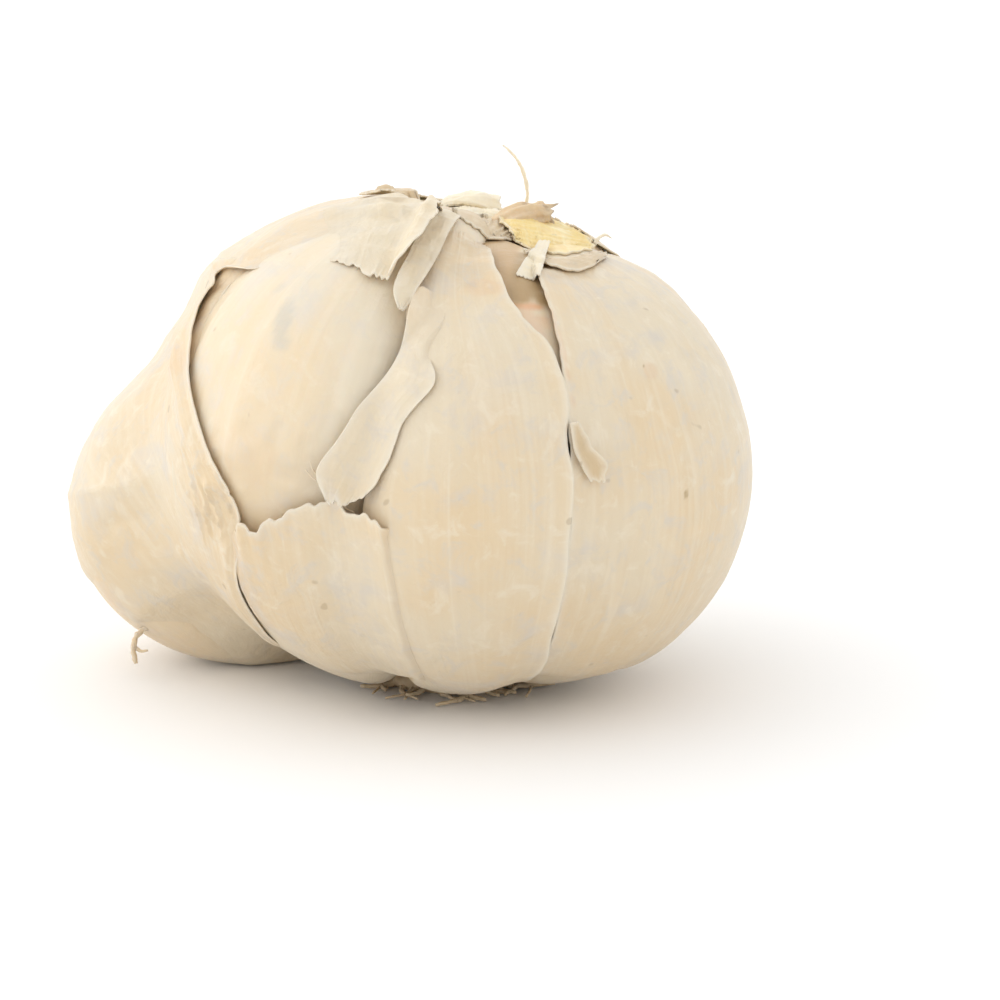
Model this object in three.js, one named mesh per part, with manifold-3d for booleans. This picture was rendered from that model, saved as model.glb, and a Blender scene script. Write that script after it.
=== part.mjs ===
// A garlic bulb: seven cloves round a stalk on a root plate, in what is left of their papery
// skins. One clove has splayed out to the left and rests its belly on the ground.
// Millimetres, +Z up, front towards -Y. The origin is the middle of the root plate's underside.
import * as THREE from 'three';
import { mergeVertices } from 'three/addons/utils/BufferGeometryUtils.js';
import Module from 'manifold-3d';

const wasm = await Module();
wasm.setup();

// ---------------------------------------------------------------- driving dimensions
const AXIS_FOOT = [1, 0, 0];          // the stalk leaves the ground here
const AXIS_TOP = [4.5, 0, 45];        // and leans a little to the right
const HEART = new THREE.Vector3(2.6, 0, 21);   // middle of the bulb, where skins are measured from
const STALK_RADIUS = 2.6;
const PLATE_RADIUS = 8.6;             // root plate, mean radius
const PLATE_HEIGHT = 2;
const AIR = 0.35;                     // gap between touching pieces
const CONTACT = 0.04;                 // the same gap between cloves, in their own level units
const SKIN = 0.7;                     // thickness of a papery skin
const LAYER = SKIN + AIR;             // a skin that lies over another starts this much higher
const RINGS = 21;                     // rings along a clove
const SIDES = 30;                     // points round a clove

const rad = THREE.MathUtils.degToRad;
const vec = (p) => new THREE.Vector3(...p);

// ---------------------------------------------------------------- one clove as a formula
// A bent teardrop. Its middle line runs from base to tip and bows outwards, and its section is
// a rounded oval that swells as t^a (1-t)^b. level() is below 1 inside and 1 on the surface.
class Clove {
  constructor({ base, tip, azimuth, half, outer, inner, bow, swell, bend, weight, ribs }) {
    this.base = vec(base);
    this.axis = vec(tip).sub(this.base);
    this.length = this.axis.length();
    this.axis.normalize();
    const out = new THREE.Vector3(Math.sin(rad(azimuth)), -Math.cos(rad(azimuth)), 0);
    this.out = out.addScaledVector(this.axis, -out.dot(this.axis)).normalize();
    this.side = new THREE.Vector3().crossVectors(this.axis, this.out);
    Object.assign(this, { half, outer, inner, bow, swell, bend, weight, ribs });
  }

  static hump(t, [a, b]) {
    const peak = a / (a + b);
    return (t ** a * (1 - t) ** b) / (peak ** a * (1 - peak) ** b);
  }

  centre(t) {
    const point = this.base.clone().addScaledVector(this.axis, t * this.length);
    return point.addScaledVector(this.out, this.bow * Clove.hump(t, this.bend));
  }

  // radius of the oval at height t, in the direction of angle f (90 degrees is outwards)
  radius(t, f) {
    const swell = Clove.hump(t, this.swell);
    const depth = Math.sin(f) > 0 ? this.outer : this.inner;
    const across = Math.abs(Math.cos(f)) / (this.half * swell);
    const through = Math.abs(Math.sin(f)) / (depth * swell);
    return 1 / (across ** ROUNDNESS + through ** ROUNDNESS) ** (1 / ROUNDNESS);
  }

  direction(f) {
    const across = this.side.clone().multiplyScalar(Math.cos(f));
    return across.addScaledVector(this.out, Math.sin(f));
  }

  level(point) {
    const d = point.clone().sub(this.base);
    const t = d.dot(this.axis) / this.length;
    if (t <= 0 || t >= 1) return 1000;
    const swell = Clove.hump(t, this.swell);
    const across = d.dot(this.side);
    const through = d.dot(this.out) - this.bow * Clove.hump(t, this.bend);
    const depth = through > 0 ? this.outer : this.inner;
    const a = Math.abs(across) / (this.half * swell);
    const b = Math.abs(through) / (depth * swell);
    return (a ** ROUNDNESS + b ** ROUNDNESS) ** (1 / ROUNDNESS);
  }
}
const ROUNDNESS = 2.2;                // exponent of the oval section, 2 is an ellipse

function onAxis(foot, azimuth, reach, height) {
  const [x, y] = foot;
  return [x + reach * Math.sin(rad(azimuth)), y - reach * Math.cos(rad(azimuth)), height];
}

// a clove that stands in the ring: most differ only in where they stand and how full they are
function standing(azimuth, changes) {
  const usual = {
    foot: 1, top: 43, half: 14, outer: 12, inner: 16, bow: 11.6, swell: [0.5, 0.52],
    bend: [0.55, 0.5], weight: 1, ribs: [],
  };
  const clove = { ...usual, ...changes, azimuth };
  clove.base = onAxis(AXIS_FOOT, azimuth, 10.9, clove.foot);
  clove.tip = onAxis(AXIS_TOP, azimuth, 3, clove.top);
  return new Clove(clove);
}

const cloves = {
  clove_left_splayed: new Clove({
    base: [-8.7, 4, 1.5], tip: [-16.9, 3, 33.7], azimuth: -100, half: 13, outer: 9.8, inner: 11.8,
    bow: 15, swell: [0.48, 0.3], bend: [0.33, 0.45], weight: 1, ribs: [[60, 0.25], [120, 0.2]],
  }),
  clove_front_left: standing(-50, {
    top: 45.4, bow: 13.1, half: 14.5, swell: [0.5, 0.48], weight: 1.6, ribs: [[70, 0.2], [115, 0.2]],
  }),
  clove_front: standing(-2, { bow: 10.7, top: 43.2, half: 13.5, ribs: [[82, 0.45]] }),
  clove_right_front: standing(52, {
    top: 42.5, bow: 8.6, half: 14.4, outer: 12.4, swell: [0.42, 0.47], weight: 1.25,
    ribs: [[60, 0.25], [100, 0.25]],
  }),
  clove_right_back: standing(106, { top: 42, bow: 7.5, outer: 11.6, ribs: [[75, 0.25], [105, 0.25]] }),
  clove_back: standing(160, { top: 43.5, bow: 9.9, ribs: [[65, 0.25], [110, 0.25]] }),
  clove_back_left: standing(-128, {
    top: 44.4, bow: 14.5, half: 13.8, swell: [0.5, 0.4], weight: 0.8, ribs: [[80, 0.25]],
  }),
};
const all = Object.values(cloves);

// ---------------------------------------------------------------- closed meshes from grids
// rows of points; round rows join end to end and close on the two given poles
function roundSolid(rows, pole0, pole1) {
  const n = rows[0].length;
  const points = [...rows.flat(), pole0, pole1];
  const first = rows.length * n;
  const faces = [];
  for (let j = 0; j < n; j += 1) {
    const k = (j + 1) % n;
    faces.push([first, k, j]);
    faces.push([first + 1, (rows.length - 1) * n + j, (rows.length - 1) * n + k]);
    for (let i = 0; i + 1 < rows.length; i += 1) {
      faces.push([i * n + j, i * n + k, (i + 1) * n + k]);
      faces.push([i * n + j, (i + 1) * n + k, (i + 1) * n + j]);
    }
  }
  return solid(points, faces);
}

// a sheet with an inner and an outer face of matching grids, closed along its four edges
function sheetSolid(inner, outer) {
  const m = inner.length;
  const n = inner[0].length;
  const points = [...inner.flat(), ...outer.flat()];
  const at = (i, j, face) => face * m * n + i * n + j;
  const faces = [];
  for (let i = 0; i + 1 < m; i += 1) {
    for (let j = 0; j + 1 < n; j += 1) {
      for (const face of [0, 1]) {
        const [a, b] = [at(i, j, face), at(i, j + 1, face)];
        const [c, d] = [at(i + 1, j + 1, face), at(i + 1, j, face)];
        faces.push(face ? [a, b, c] : [a, c, b], face ? [a, c, d] : [a, d, c]);
      }
    }
  }
  const wall = (i0, j0, i1, j1) => {
    faces.push([at(i0, j0, 0), at(i1, j1, 0), at(i1, j1, 1)]);
    faces.push([at(i0, j0, 0), at(i1, j1, 1), at(i0, j0, 1)]);
  };
  for (let j = 0; j + 1 < n; j += 1) {
    wall(0, j, 0, j + 1);
    wall(m - 1, j + 1, m - 1, j);
  }
  for (let i = 0; i + 1 < m; i += 1) {
    wall(i + 1, 0, i, 0);
    wall(i, n - 1, i + 1, n - 1);
  }
  return solid(points, faces);
}

// the faces may all point in or all point out as made: a negative volume turns them over
function solid(points, faces) {
  let volume = 0;
  for (const [a, b, c] of faces) {
    volume += points[a].dot(new THREE.Vector3().crossVectors(points[b], points[c]));
  }
  const index = faces.flatMap(([a, b, c]) => (volume > 0 ? [a, b, c] : [a, c, b]));
  const geometry = new THREE.BufferGeometry().setFromPoints(points);
  geometry.setIndex(index);
  geometry.computeVertexNormals();
  return geometry;
}

// ---------------------------------------------------------------- cloves, cut by their neighbours
const RIB_WIDTH = 9;                  // degrees from a rib's crest to where it has faded

function ribHeight(clove, t, f) {
  let height = 0;
  for (const [at, crest] of clove.ribs) {
    const away = (THREE.MathUtils.radToDeg(f) - at) / RIB_WIDTH;
    height += crest * Math.exp(-away * away) * Math.sin(Math.PI * t);
  }
  return height;
}

function stalkClearance(point) {
  const lean = new THREE.Vector3().lerpVectors(vec(AXIS_FOOT), vec(AXIS_TOP), point.z / AXIS_TOP[2]);
  const fromStalk = Math.hypot(point.x - lean.x, point.y - lean.y);
  const fromMiddle = Math.hypot(point.x, point.y);
  const overPlate = point.z > PLATE_HEIGHT + AIR || fromMiddle > PLATE_RADIUS + 1.6 + AIR;
  return point.z >= 0 && fromStalk > STALK_RADIUS + AIR && overPlate;
}

// each clove owns the space where its own level, shared by weight, is the lowest
function isFree(clove, share, point) {
  if (!stalkClearance(point)) return false;
  for (const other of all) {
    if (other === clove) continue;
    if (other.level(point) - (share * other.weight) / clove.weight < CONTACT) return false;
  }
  return true;
}

const MARCH = 48;
const HALVINGS = 10;

// grown: how much larger than the clove itself the solid is made, all round
function cloveSolid(clove, grown = 0) {
  const rows = [];
  for (let i = 0; i < RINGS; i += 1) {
    const t = 0.004 + 0.992 * (1 - Math.cos((Math.PI * i) / (RINGS - 1))) / 2;
    const row = [];
    for (let j = 0; j < SIDES; j += 1) {
      const f = (2 * Math.PI * j) / SIDES;
      const centre = clove.centre(t);
      const direction = clove.direction(f);
      const reach = clove.radius(t, f);
      const at = (share) => centre.clone().addScaledVector(direction, share * reach);
      let low = 0;
      while (low < MARCH && isFree(clove, (low + 1) / MARCH, at((low + 1) / MARCH))) low += 1;
      let [inside, outside] = [low / MARCH, Math.min(1, (low + 1) / MARCH)];
      for (let k = 0; k < HALVINGS; k += 1) {
        const middle = (inside + outside) / 2;
        if (isFree(clove, middle, at(middle))) inside = middle;
        else outside = middle;
      }
      const share = Math.max(inside, 0.02);
      const rib = inside > 0.99 ? ribHeight(clove, t, f) : 0;
      row.push(at(share).addScaledVector(direction, rib + grown));
    }
    rows.push(row);
  }
  return roundSolid(rows, clove.centre(0.001), clove.centre(0.999));
}

// ---------------------------------------------------------------- papery skins
// A skin is drawn on the bulb in degrees of longitude (0 is the front, + is the right) and
// latitude, seen from HEART. It lies on whatever clove is outermost and bridges the creases.
function compass(longitude, latitude) {
  const flat = Math.cos(rad(latitude));
  const x = Math.sin(rad(longitude)) * flat;
  const y = -Math.cos(rad(longitude)) * flat;
  return new THREE.Vector3(x, y, Math.sin(rad(latitude)));
}

const FURTHEST = 48;
const NEAREST = 12;
const STRIDE = 0.75;

function surfaceReach(direction) {
  const inClove = (reach) => {
    const point = HEART.clone().addScaledVector(direction, reach);
    return all.some((clove) => clove.level(point) < 1);
  };
  let far = FURTHEST;
  while (far > NEAREST && !inClove(far)) far -= STRIDE;
  let [inside, outside] = [far, far + STRIDE];
  for (let k = 0; k < HALVINGS; k += 1) {
    const middle = (inside + outside) / 2;
    if (inClove(middle)) inside = middle;
    else outside = middle;
  }
  return inside;
}

// a little further out than the cloves are beside this point, so flat facets clear them too
const BESIDE = 2.2;                   // degrees

function clearReach(direction) {
  const right = new THREE.Vector3(direction.y, -direction.x, 0).normalize();
  const up = new THREE.Vector3().crossVectors(direction, right);
  const turned = [[right, 1], [right, -1], [up, 1], [up, -1]].map(([along, way]) => (
    direction.clone().addScaledVector(along, way * Math.tan(rad(BESIDE))).normalize()));
  return Math.max(surfaceReach(direction), ...turned.map(surfaceReach));
}

// a skin is pulled tight: it lies on the cloves but spans the creases like a stretched sheet,
// while its edges only span them along the edge
function pulledTight(floor, pulls) {
  let reach = floor.map((row) => [...row]);
  const last = [floor.length - 1, floor[0].length - 1];
  const mean = (values) => values.reduce((sum, value) => sum + value, 0) / values.length;
  for (let pull = 0; pull < pulls; pull += 1) {
    reach = reach.map((row, i) => row.map((here, j) => {
      const acrossEdge = j === 0 || j === last[1];
      const alongEdge = i === 0 || i === last[0];
      if (acrossEdge && alongEdge) return here;
      const beside = acrossEdge ? [] : [row[j - 1], row[j + 1]];
      const above = alongEdge ? [] : [reach[i - 1][j], reach[i + 1][j]];
      return Math.max(floor[i][j], mean([...beside, ...above]));
    }));
  }
  return reach;
}

function catmull(a, b, c, d, t) {
  const linear = (c - a) / 2;
  const square = a - 2.5 * b + 2 * c - d / 2;
  const cube = (d - a) / 2 + 1.5 * (b - c);
  return b + t * (linear + t * (square + t * cube));
}

// a smooth curve through values that are evenly spaced over 0..1
function through(values, s) {
  const last = values.length - 1;
  const k = Math.min(Math.floor(s * last), last - 1);
  const before = values[k - 1] ?? 2 * values[k] - values[k + 1];
  const after = values[k + 2] ?? 2 * values[k + 1] - values[k];
  return catmull(before, values[k], values[k + 1], after, s * last - k);
}

const ragged = (k) => {
  const wave = Math.sin(k * 12.9898) * 43758.5453;
  return wave - Math.floor(wave) - 0.5;
};

// plan: rows from top to bottom of [longitude, latitude, lift], each from left to right.
// torn: how far, in shares of the sheet, its top, bottom, left and right edges are ragged.
function skinSolid(plan, { rows, columns, layer = 0, torn = [0, 0, 0, 0], seed = 1, pulls = 14 }) {
  const spread = plan.map((row) => row.map(([longitude, latitude, lift = 0]) => {
    const d = compass(longitude, latitude);
    return [d.x, d.y, d.z, lift];
  }));
  const value = (s, t, k) => through(spread.map((row) => through(row.map((p) => p[k]), t)), s);
  const [top, bottom, left, right] = torn;
  const grid = [];
  for (let i = 0; i <= rows; i += 1) {
    const row = [];
    for (let j = 0; j <= columns; j += 1) {
      const top0 = top * (0.5 + ragged(seed + j));
      const bottom0 = 1 - bottom * (0.5 + ragged(seed + 31 + j));
      const left0 = left * (0.5 + ragged(seed + 57 + i));
      const right0 = 1 - right * (0.5 + ragged(seed + 83 + i));
      const s = top0 + (bottom0 - top0) * (i / rows);
      const t = left0 + (right0 - left0) * (j / columns);
      const direction = new THREE.Vector3(value(s, t, 0), value(s, t, 1), value(s, t, 2));
      row.push({ direction: direction.normalize(), lift: value(s, t, 3) + layer * LAYER });
    }
    grid.push(row);
  }
  const floor = grid.map((row) => row.map(({ direction }) => clearReach(direction)));
  const reach = pulledTight(floor, pulls);
  const middle = grid.map((row, i) => row.map(({ direction, lift }, j) => (
    HEART.clone().addScaledVector(direction, reach[i][j] + lift))));
  return thicken(middle, AIR, AIR + SKIN);
}

// both faces of a sheet, from a grid of points, moved along the grid's own normals
function thicken(grid, from, to) {
  const last = [grid.length - 1, grid[0].length - 1];
  const at = (i, j) => grid[Math.min(Math.max(i, 0), last[0])][Math.min(Math.max(j, 0), last[1])];
  const faces = [from, to].map((offset) => grid.map((row, i) => row.map((point, j) => {
    const along = at(i + 1, j).clone().sub(at(i - 1, j));
    const across = at(i, j + 1).clone().sub(at(i, j - 1));
    const normal = new THREE.Vector3().crossVectors(along, across).normalize();
    if (normal.dot(point.clone().sub(HEART)) < 0) normal.negate();
    return point.clone().addScaledVector(normal, offset);
  })));
  return sheetSolid(faces[0], faces[1]);
}

// ---------------------------------------------------------------- ribbons and fibres at the neck
// a strip along a curve, arched across its width, each station [x, y, z, width, arch, turn]
function ribbonSolid(stations, { rows, columns, thick = SKIN }) {
  const value = (s, k) => through(stations.map((station) => station[k]), s);
  const place = (s) => new THREE.Vector3(value(s, 0), value(s, 1), value(s, 2));
  const grid = [];
  for (let i = 0; i <= rows; i += 1) {
    const s = i / rows;
    const ahead = place(Math.min(s + 0.01, 1)).sub(place(Math.max(s - 0.01, 0))).normalize();
    const flat = new THREE.Vector3(-ahead.y, ahead.x, 0).normalize();
    const side = flat.applyAxisAngle(ahead, rad(value(s, 5)));
    const up = new THREE.Vector3().crossVectors(ahead, side).normalize();
    const row = [];
    for (let j = 0; j <= columns; j += 1) {
      const across = (2 * j) / columns - 1;
      const point = place(s).addScaledVector(side, (across * value(s, 3)) / 2);
      row.push(point.addScaledVector(up, value(s, 4) * (1 - across * across)));
    }
    grid.push(row);
  }
  return thicken(grid, 0, thick);
}

// a thin round fibre with blunt ends along a smooth curve
function fibreSolid(points, radius, { rows = 10, sides = 6 } = {}) {
  const curve = new THREE.CatmullRomCurve3(points.map(vec));
  const frames = curve.computeFrenetFrames(rows);
  const rings = [];
  for (let i = 0; i <= rows; i += 1) {
    const centre = curve.getPointAt(i / rows);
    const ring = [];
    for (let j = 0; j < sides; j += 1) {
      const turn = (2 * Math.PI * j) / sides;
      const point = centre.clone().addScaledVector(frames.normals[i], radius * Math.cos(turn));
      ring.push(point.addScaledVector(frames.binormals[i], radius * Math.sin(turn)));
    }
    rings.push(ring);
  }
  return roundSolid(rings, curve.getPointAt(0), curve.getPointAt(1));
}

const FIBRE_RADIUS = 0.32;

// ---------------------------------------------------------------- joining grown pieces
function toManifold(geometry) {
  const bare = geometry.clone();
  bare.deleteAttribute('normal');
  bare.deleteAttribute('uv');
  const merged = mergeVertices(bare, 1e-4);
  const vertProperties = new Float32Array(merged.attributes.position.array);
  const triVerts = new Uint32Array(merged.index.array);
  return new wasm.Manifold(new wasm.Mesh({ numProp: 3, vertProperties, triVerts }));
}

function fromManifold(body) {
  const mesh = body.getMesh();
  const geometry = new THREE.BufferGeometry();
  geometry.setAttribute('position', new THREE.BufferAttribute(mesh.vertProperties, 3));
  geometry.setIndex(new THREE.BufferAttribute(mesh.triVerts, 1));
  geometry.computeVertexNormals();
  return geometry;
}

// what is left of one solid beside another, without loose scraps
function carved(geometry, tool) {
  const pieces = toManifold(geometry).subtract(toManifold(tool)).decompose();
  return fromManifold(pieces.sort((a, b) => b.volume() - a.volume())[0]);
}

function joined(geometries) {
  const [first, ...others] = geometries.map(toManifold);
  return fromManifold(others.reduce((whole, part) => whole.add(part), first));
}

// ---------------------------------------------------------------- stalk, root plate and roots
const PLATE_SIDES = 40;

function plateRim(turn) {
  return PLATE_RADIUS + 0.7 * Math.cos(turn) + 0.35 * Math.sin(3 * turn) + 0.25 * Math.sin(8 * turn);
}

function plateSolid() {
  const levels = [[0, 0.9], [0.6, 0.98], [1.3, 1], [PLATE_HEIGHT, 0.88]];
  const rings = levels.map(([height, share]) => {
    const ring = [];
    for (let j = 0; j < PLATE_SIDES; j += 1) {
      const turn = (2 * Math.PI * j) / PLATE_SIDES;
      const reach = plateRim(turn) * share;
      ring.push(new THREE.Vector3(reach * Math.cos(turn), reach * Math.sin(turn), height));
    }
    return ring;
  });
  return roundSolid(rings, vec([0, 0, 0]), vec([0, 0, PLATE_HEIGHT]));
}

const STALK_TOP = [7.6, 2.2, 45.6];   // the dry stub of the stem, bent to the right
const STALK_SIDES = 14;

function stalkSolid() {
  const foot = vec(AXIS_FOOT);
  const knee = new THREE.Vector3().lerpVectors(foot, vec(AXIS_TOP), 0.92);
  const stations = [
    [foot.x, foot.y, 1, 2.5], [...foot.clone().lerp(knee, 0.5).toArray(), 2.4],
    [...knee.toArray(), 2.3], [6, 1.2, 44.2, 2.1], [...STALK_TOP, 1.7],
  ];
  const rows = 12;
  const rings = [];
  for (let i = 0; i <= rows; i += 1) {
    const s = i / rows;
    const [x, y, z, reach] = [0, 1, 2, 3].map((k) => through(stations.map((p) => p[k]), s));
    const ring = [];
    for (let j = 0; j < STALK_SIDES; j += 1) {
      const turn = (2 * Math.PI * j) / STALK_SIDES;
      const frayed = i === rows ? 0.7 * ragged(5 + j) : 0;
      const grooved = reach * (1 + 0.06 * Math.cos(7 * turn));
      const dx = grooved * Math.cos(turn);
      ring.push(new THREE.Vector3(x + dx, y + grooved * Math.sin(turn), z + frayed));
    }
    rings.push(ring);
  }
  return roundSolid(rings, vec([foot.x, foot.y, 1]), vec(STALK_TOP));
}

const ROOTS = 26;
const ROOT_RADIUS = 0.42;
const SPLAYED_AT = 162;               // degrees round the plate, from the right
const SPLAYED_WIDTH = 48;

// dried roots, cut short, that leave the plate's rim under the cloves
function rootStub(k) {
  const turn = (2 * Math.PI * (k + 0.6 * ragged(k + 3))) / ROOTS;
  const reach = 1 + 2.2 * (ragged(k + 11) + 0.5);
  const start = plateRim(turn) - 1.6;
  const bend = 0.12 * ragged(k + 29);
  const at = (out, angle, height) => {
    const far = start + out;
    return [far * Math.cos(turn + angle), far * Math.sin(turn + angle), height];
  };
  const route = [at(0, 0, 0.62), at(1.6 + reach / 2, bend, 0.56), at(1.6 + reach, 2.5 * bend, 0.46)];
  return fibreSolid(route, ROOT_RADIUS, { rows: 3, sides: 5 });
}

// none grow where the splayed clove lies
function stalkAndRootPlate() {
  const free = Array.from({ length: ROOTS }, (_, k) => k).filter((k) => (
    Math.abs((360 * k) / ROOTS - SPLAYED_AT) > SPLAYED_WIDTH));
  return joined([plateSolid(), stalkSolid(), ...free.map(rootStub)]);
}

// a last dry root that the splayed clove has kept
const splayedRootlet = () => fibreSolid([
  [-28.2, -1.6, 4.6], [-29.6, -2.4, 3.2], [-30.4, -3, 2.2], [-30.2, -3.6, 1],
], FIBRE_RADIUS, { rows: 5 });

// these two lean on a neighbour that has pressed a hollow into them
const pressedBy = {
  clove_left_splayed: 'clove_back_left',
  clove_front: 'clove_front_left',
  clove_back: 'clove_right_back',
};

function wholeClove(name) {
  const body = cloveSolid(cloves[name]);
  const neighbour = pressedBy[name];
  const shaped = neighbour ? carved(body, cloveSolid(cloves[neighbour], AIR)) : body;
  return name === 'clove_left_splayed' ? joined([shaped, splayedRootlet()]) : shaped;
}

// ---------------------------------------------------------------- the skins, one plan each
const skins = {
  wrapper_left: () => skinSolid([
    [[-112, 74.5, 0.2], [-138, 73, 0.6], [-165, 70], [175, 66]],
    [[-107, 60, 0.3], [-122, 59, 0.9], [-148, 54, 0.2], [-170, 48]],
    [[-94, 46.5, 1.8], [-114, 45, 2.4], [-138, 39, 1], [-160, 30]],
    [[-82, 36.5, 0.6], [-102, 34, 1.6], [-124, 26, 0.8], [-145, 16]],
    [[-62, 26, 0.2], [-82, 22, 0.4], [-105, 14, 0.4], [-128, 4]],
    [[-52, 14], [-66, 10, 0.2], [-86, 4, 0.3], [-104, -3, 0.4]],
    [[-41, 1, 0.3], [-48, -2, 0.3], [-56, -5, 0.4], [-66, -9, 0.5]],
  ], { rows: 18, columns: 12, torn: [0.03, 0.03, 0, 0.08], seed: 2, pulls: 6 }),
  wrapper_right: () => skinSolid([
    [[23, 50, 0.5], [47, 52], [75, 54], [100, 55]],
    [[18, 40, 0.6], [45, 40], [76, 42], [104, 42]],
    [[19.5, 24, 0.4], [45, 24], [76, 24], [108, 22]],
    [[20.5, 4], [45, 4], [74, 4], [104, 2]],
    [[20, -16], [45, -17], [72, -17], [98, -18]],
    [[22, -36], [45, -37], [70, -38], [92, -37]],
    [[26, -50], [47, -51], [66, -51], [84, -50]],
  ], { rows: 16, columns: 13, torn: [0.02, 0.03, 0, 0.05], seed: 5 }),
  skin_front: () => skinSolid([
    [[-9, 68], [2, 70], [13, 66]],
    [[-10, 54, 0.2], [0, 54], [10, 52, 0.3]],
    [[-12, 38], [1, 38], [12, 38, 0.3]],
    [[-12, 22], [2, 22], [15.5, 25]],
    [[-11, 4], [3, 4], [17, 6]],
    [[-10, -18], [3, -18], [16.5, -18]],
    [[-8, -40], [4, -40], [15.5, -40]],
  ], { rows: 16, columns: 6, torn: [0.02, 0.03, 0, 0], seed: 9 }),
  cuff_front_left: () => skinSolid([
    [[-42, 0, 0.3], [-33, 3, 0.5], [-25, 9, 0.2], [-16, 3, 0.2]],
    [[-46, -14], [-35, -12], [-25, -10], [-16, -12]],
    [[-50, -30], [-38, -30], [-26, -30], [-15, -30]],
    [[-50, -44], [-38, -46], [-26, -46], [-14, -44]],
  ], { rows: 10, columns: 8, torn: [0.1, 0.04, 0, 0], seed: 14 }),
  wrapper_back: () => skinSolid([
    [[118, 58], [138, 60], [160, 60]],
    [[122, 40], [144, 40], [170, 40]],
    [[124, 18], [150, 18], [180, 18]],
    [[124, -6], [152, -6], [186, -6, 0.2]],
    [[126, -28, 0.1], [154, -28, 0.2], [186, -28, 0.2]],
    [[128, -48, 0.2], [152, -50, 0.2], [178, -48, 0.2]],
  ], { rows: 13, columns: 9, torn: [0.06, 0.05, 0.1, 0.08], seed: 21 }),
  cap_flap: () => skinSolid([
    [[-104, 65, 0.1], [-108, 73, 0.2], [-62, 78, 0.3], [-24, 74, 0.3]],
    [[-80, 62, 0.1], [-68, 66, 0.5], [-42, 69, 0.4], [-17, 66, 0.4]],
    [[-56, 56, 0.1], [-42, 58, 0.5], [-28, 59, 0.6], [-15, 57, 1]],
    [[-46, 51, 0.3], [-34, 48, 0.3], [-24, 44, 0.5], [-16, 42, 1]],
  ], { rows: 10, columns: 9, layer: 1, torn: [0, 0.12, 0.05, 0], seed: 27 }),
  strip_front: () => skinSolid([
    [[-14, 46, 0.2], [-8, 46.5, 0.1], [-1, 43]],
    [[-15, 37, 0.5], [-9, 37, 0.1], [-4, 35]],
    [[-16, 28, 0.6], [-11, 29, 0.1], [-5, 28]],
    [[-20, 19, 0.5], [-14, 20, 0.2], [-8, 20]],
    [[-24, 12, 0.5], [-19, 12, 0.2], [-13, 13]],
    [[-26, 7, 0.5], [-22, 5, 0.4], [-19, 3, 0.5]],
  ], { rows: 14, columns: 5, layer: 1, torn: [0.02, 0.06, 0, 0.12], seed: 33 }),
  tissue_flap: () => skinSolid([
    [[17.5, 18], [20, 18.5, 0.3]],
    [[18, 14], [22, 15, 0.6]],
    [[20, 10], [25, 11, 0.6]],
    [[21, 5], [24.5, 5, 0.3]],
  ], { rows: 7, columns: 3, layer: 1, torn: [0, 0.05, 0, 0.2], seed: 39 }),
  straw_sheath: () => skinSolid([
    [[72, 76, 0.3], [42, 74, 0.9], [20, 69, 0.3]],
    [[86, 70, 0.2], [56, 69, 1.1], [27, 64, 0.2]],
    [[94, 65, 0.2], [68, 64, 1], [38, 59.5, 0.2]],
    [[92, 61, 0.2], [72, 59, 0.6], [52, 57.5, 0.3]],
  ], { rows: 9, columns: 6, torn: [0.04, 0.08, 0, 0], seed: 45 }),
};

const neckFibre = () => fibreSolid([
  [5.6, 6.9, 45.6], [7.4, 6.6, 46.3], [7.9, 6.5, 48], [7.4, 6.4, 49.8], [5.9, 6, 51.4],
], FIBRE_RADIUS, { rows: 11 });

const ribbons = {
  neck_fold_upper: () => joined([neckFibre(), ribbonSolid([
    [-1, 6, 45.3, 2.8, 0.3, 12], [1.2, 6.7, 45.2, 4, 0.8, 6], [3.8, 6.8, 45, 4.2, 0.9, 0],
    [6.6, 6.8, 44.5, 3, 0.6, -6],
  ], { rows: 9, columns: 5 })]),
  neck_fold_lower: () => ribbonSolid([
    [0.8, -4.6, 46.2, 3.2, 0.4, -12], [2.3, -4.4, 46, 3.8, 0.7, -15],
    [3.8, -4.2, 45.4, 3.4, 0.6, -17], [5.2, -4.2, 44.8, 2.2, 0.3, -20],
  ], { rows: 7, columns: 5 }),
  brown_curl: () => ribbonSolid([
    [-8.6, 5, 47.5, 1.4, 0.1, 0], [-6.2, 5.2, 47.8, 2.4, 0.3, 8], [-4, 4.8, 47.7, 1.6, 0.2, 12],
  ], { rows: 5, columns: 4, thick: 0.6 }),
  white_scrap: () => ribbonSolid([
    [9.4, -5.6, 45.7, 2, 0.2, -30], [8.2, -10.4, 44.9, 2.6, 0.3, -34],
    [6.8, -15, 42.8, 2.2, 0.2, -40],
  ], { rows: 5, columns: 3 }),
};

// ---------------------------------------------------------------- materials
const finish = (color, roughness) => new THREE.MeshStandardMaterial({ color, roughness });
const creamSkin = finish(0xeadfca, 0.55);
const paleSkin = finish(0xe9e2d6, 0.6);
const beigePaper = finish(0xd8cab0, 0.7);
const strawPaper = finish(0xe3c98a, 0.6);
const brownPaper = finish(0xb59a76, 0.8);
const dryRoot = finish(0xa98f6d, 0.9);
const paperFinish = {
  straw_sheath: strawPaper, tissue_flap: brownPaper, brown_curl: brownPaper,
  cap_flap: beigePaper, neck_fold_upper: beigePaper, neck_fold_lower: beigePaper,
};

// ---------------------------------------------------------------- assembly
const group = new THREE.Group();

function add(name, geometry, material) {
  const mesh = new THREE.Mesh(geometry, material);
  mesh.name = name;
  group.add(mesh);
}

for (const name of Object.keys(cloves)) add(name, wholeClove(name), creamSkin);
add('stalk_and_root_plate', stalkAndRootPlate(), dryRoot);
for (const [name, make] of Object.entries({ ...skins, ...ribbons })) {
  add(name, make(), paperFinish[name] ?? paleSkin);
}

export default group;
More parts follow.
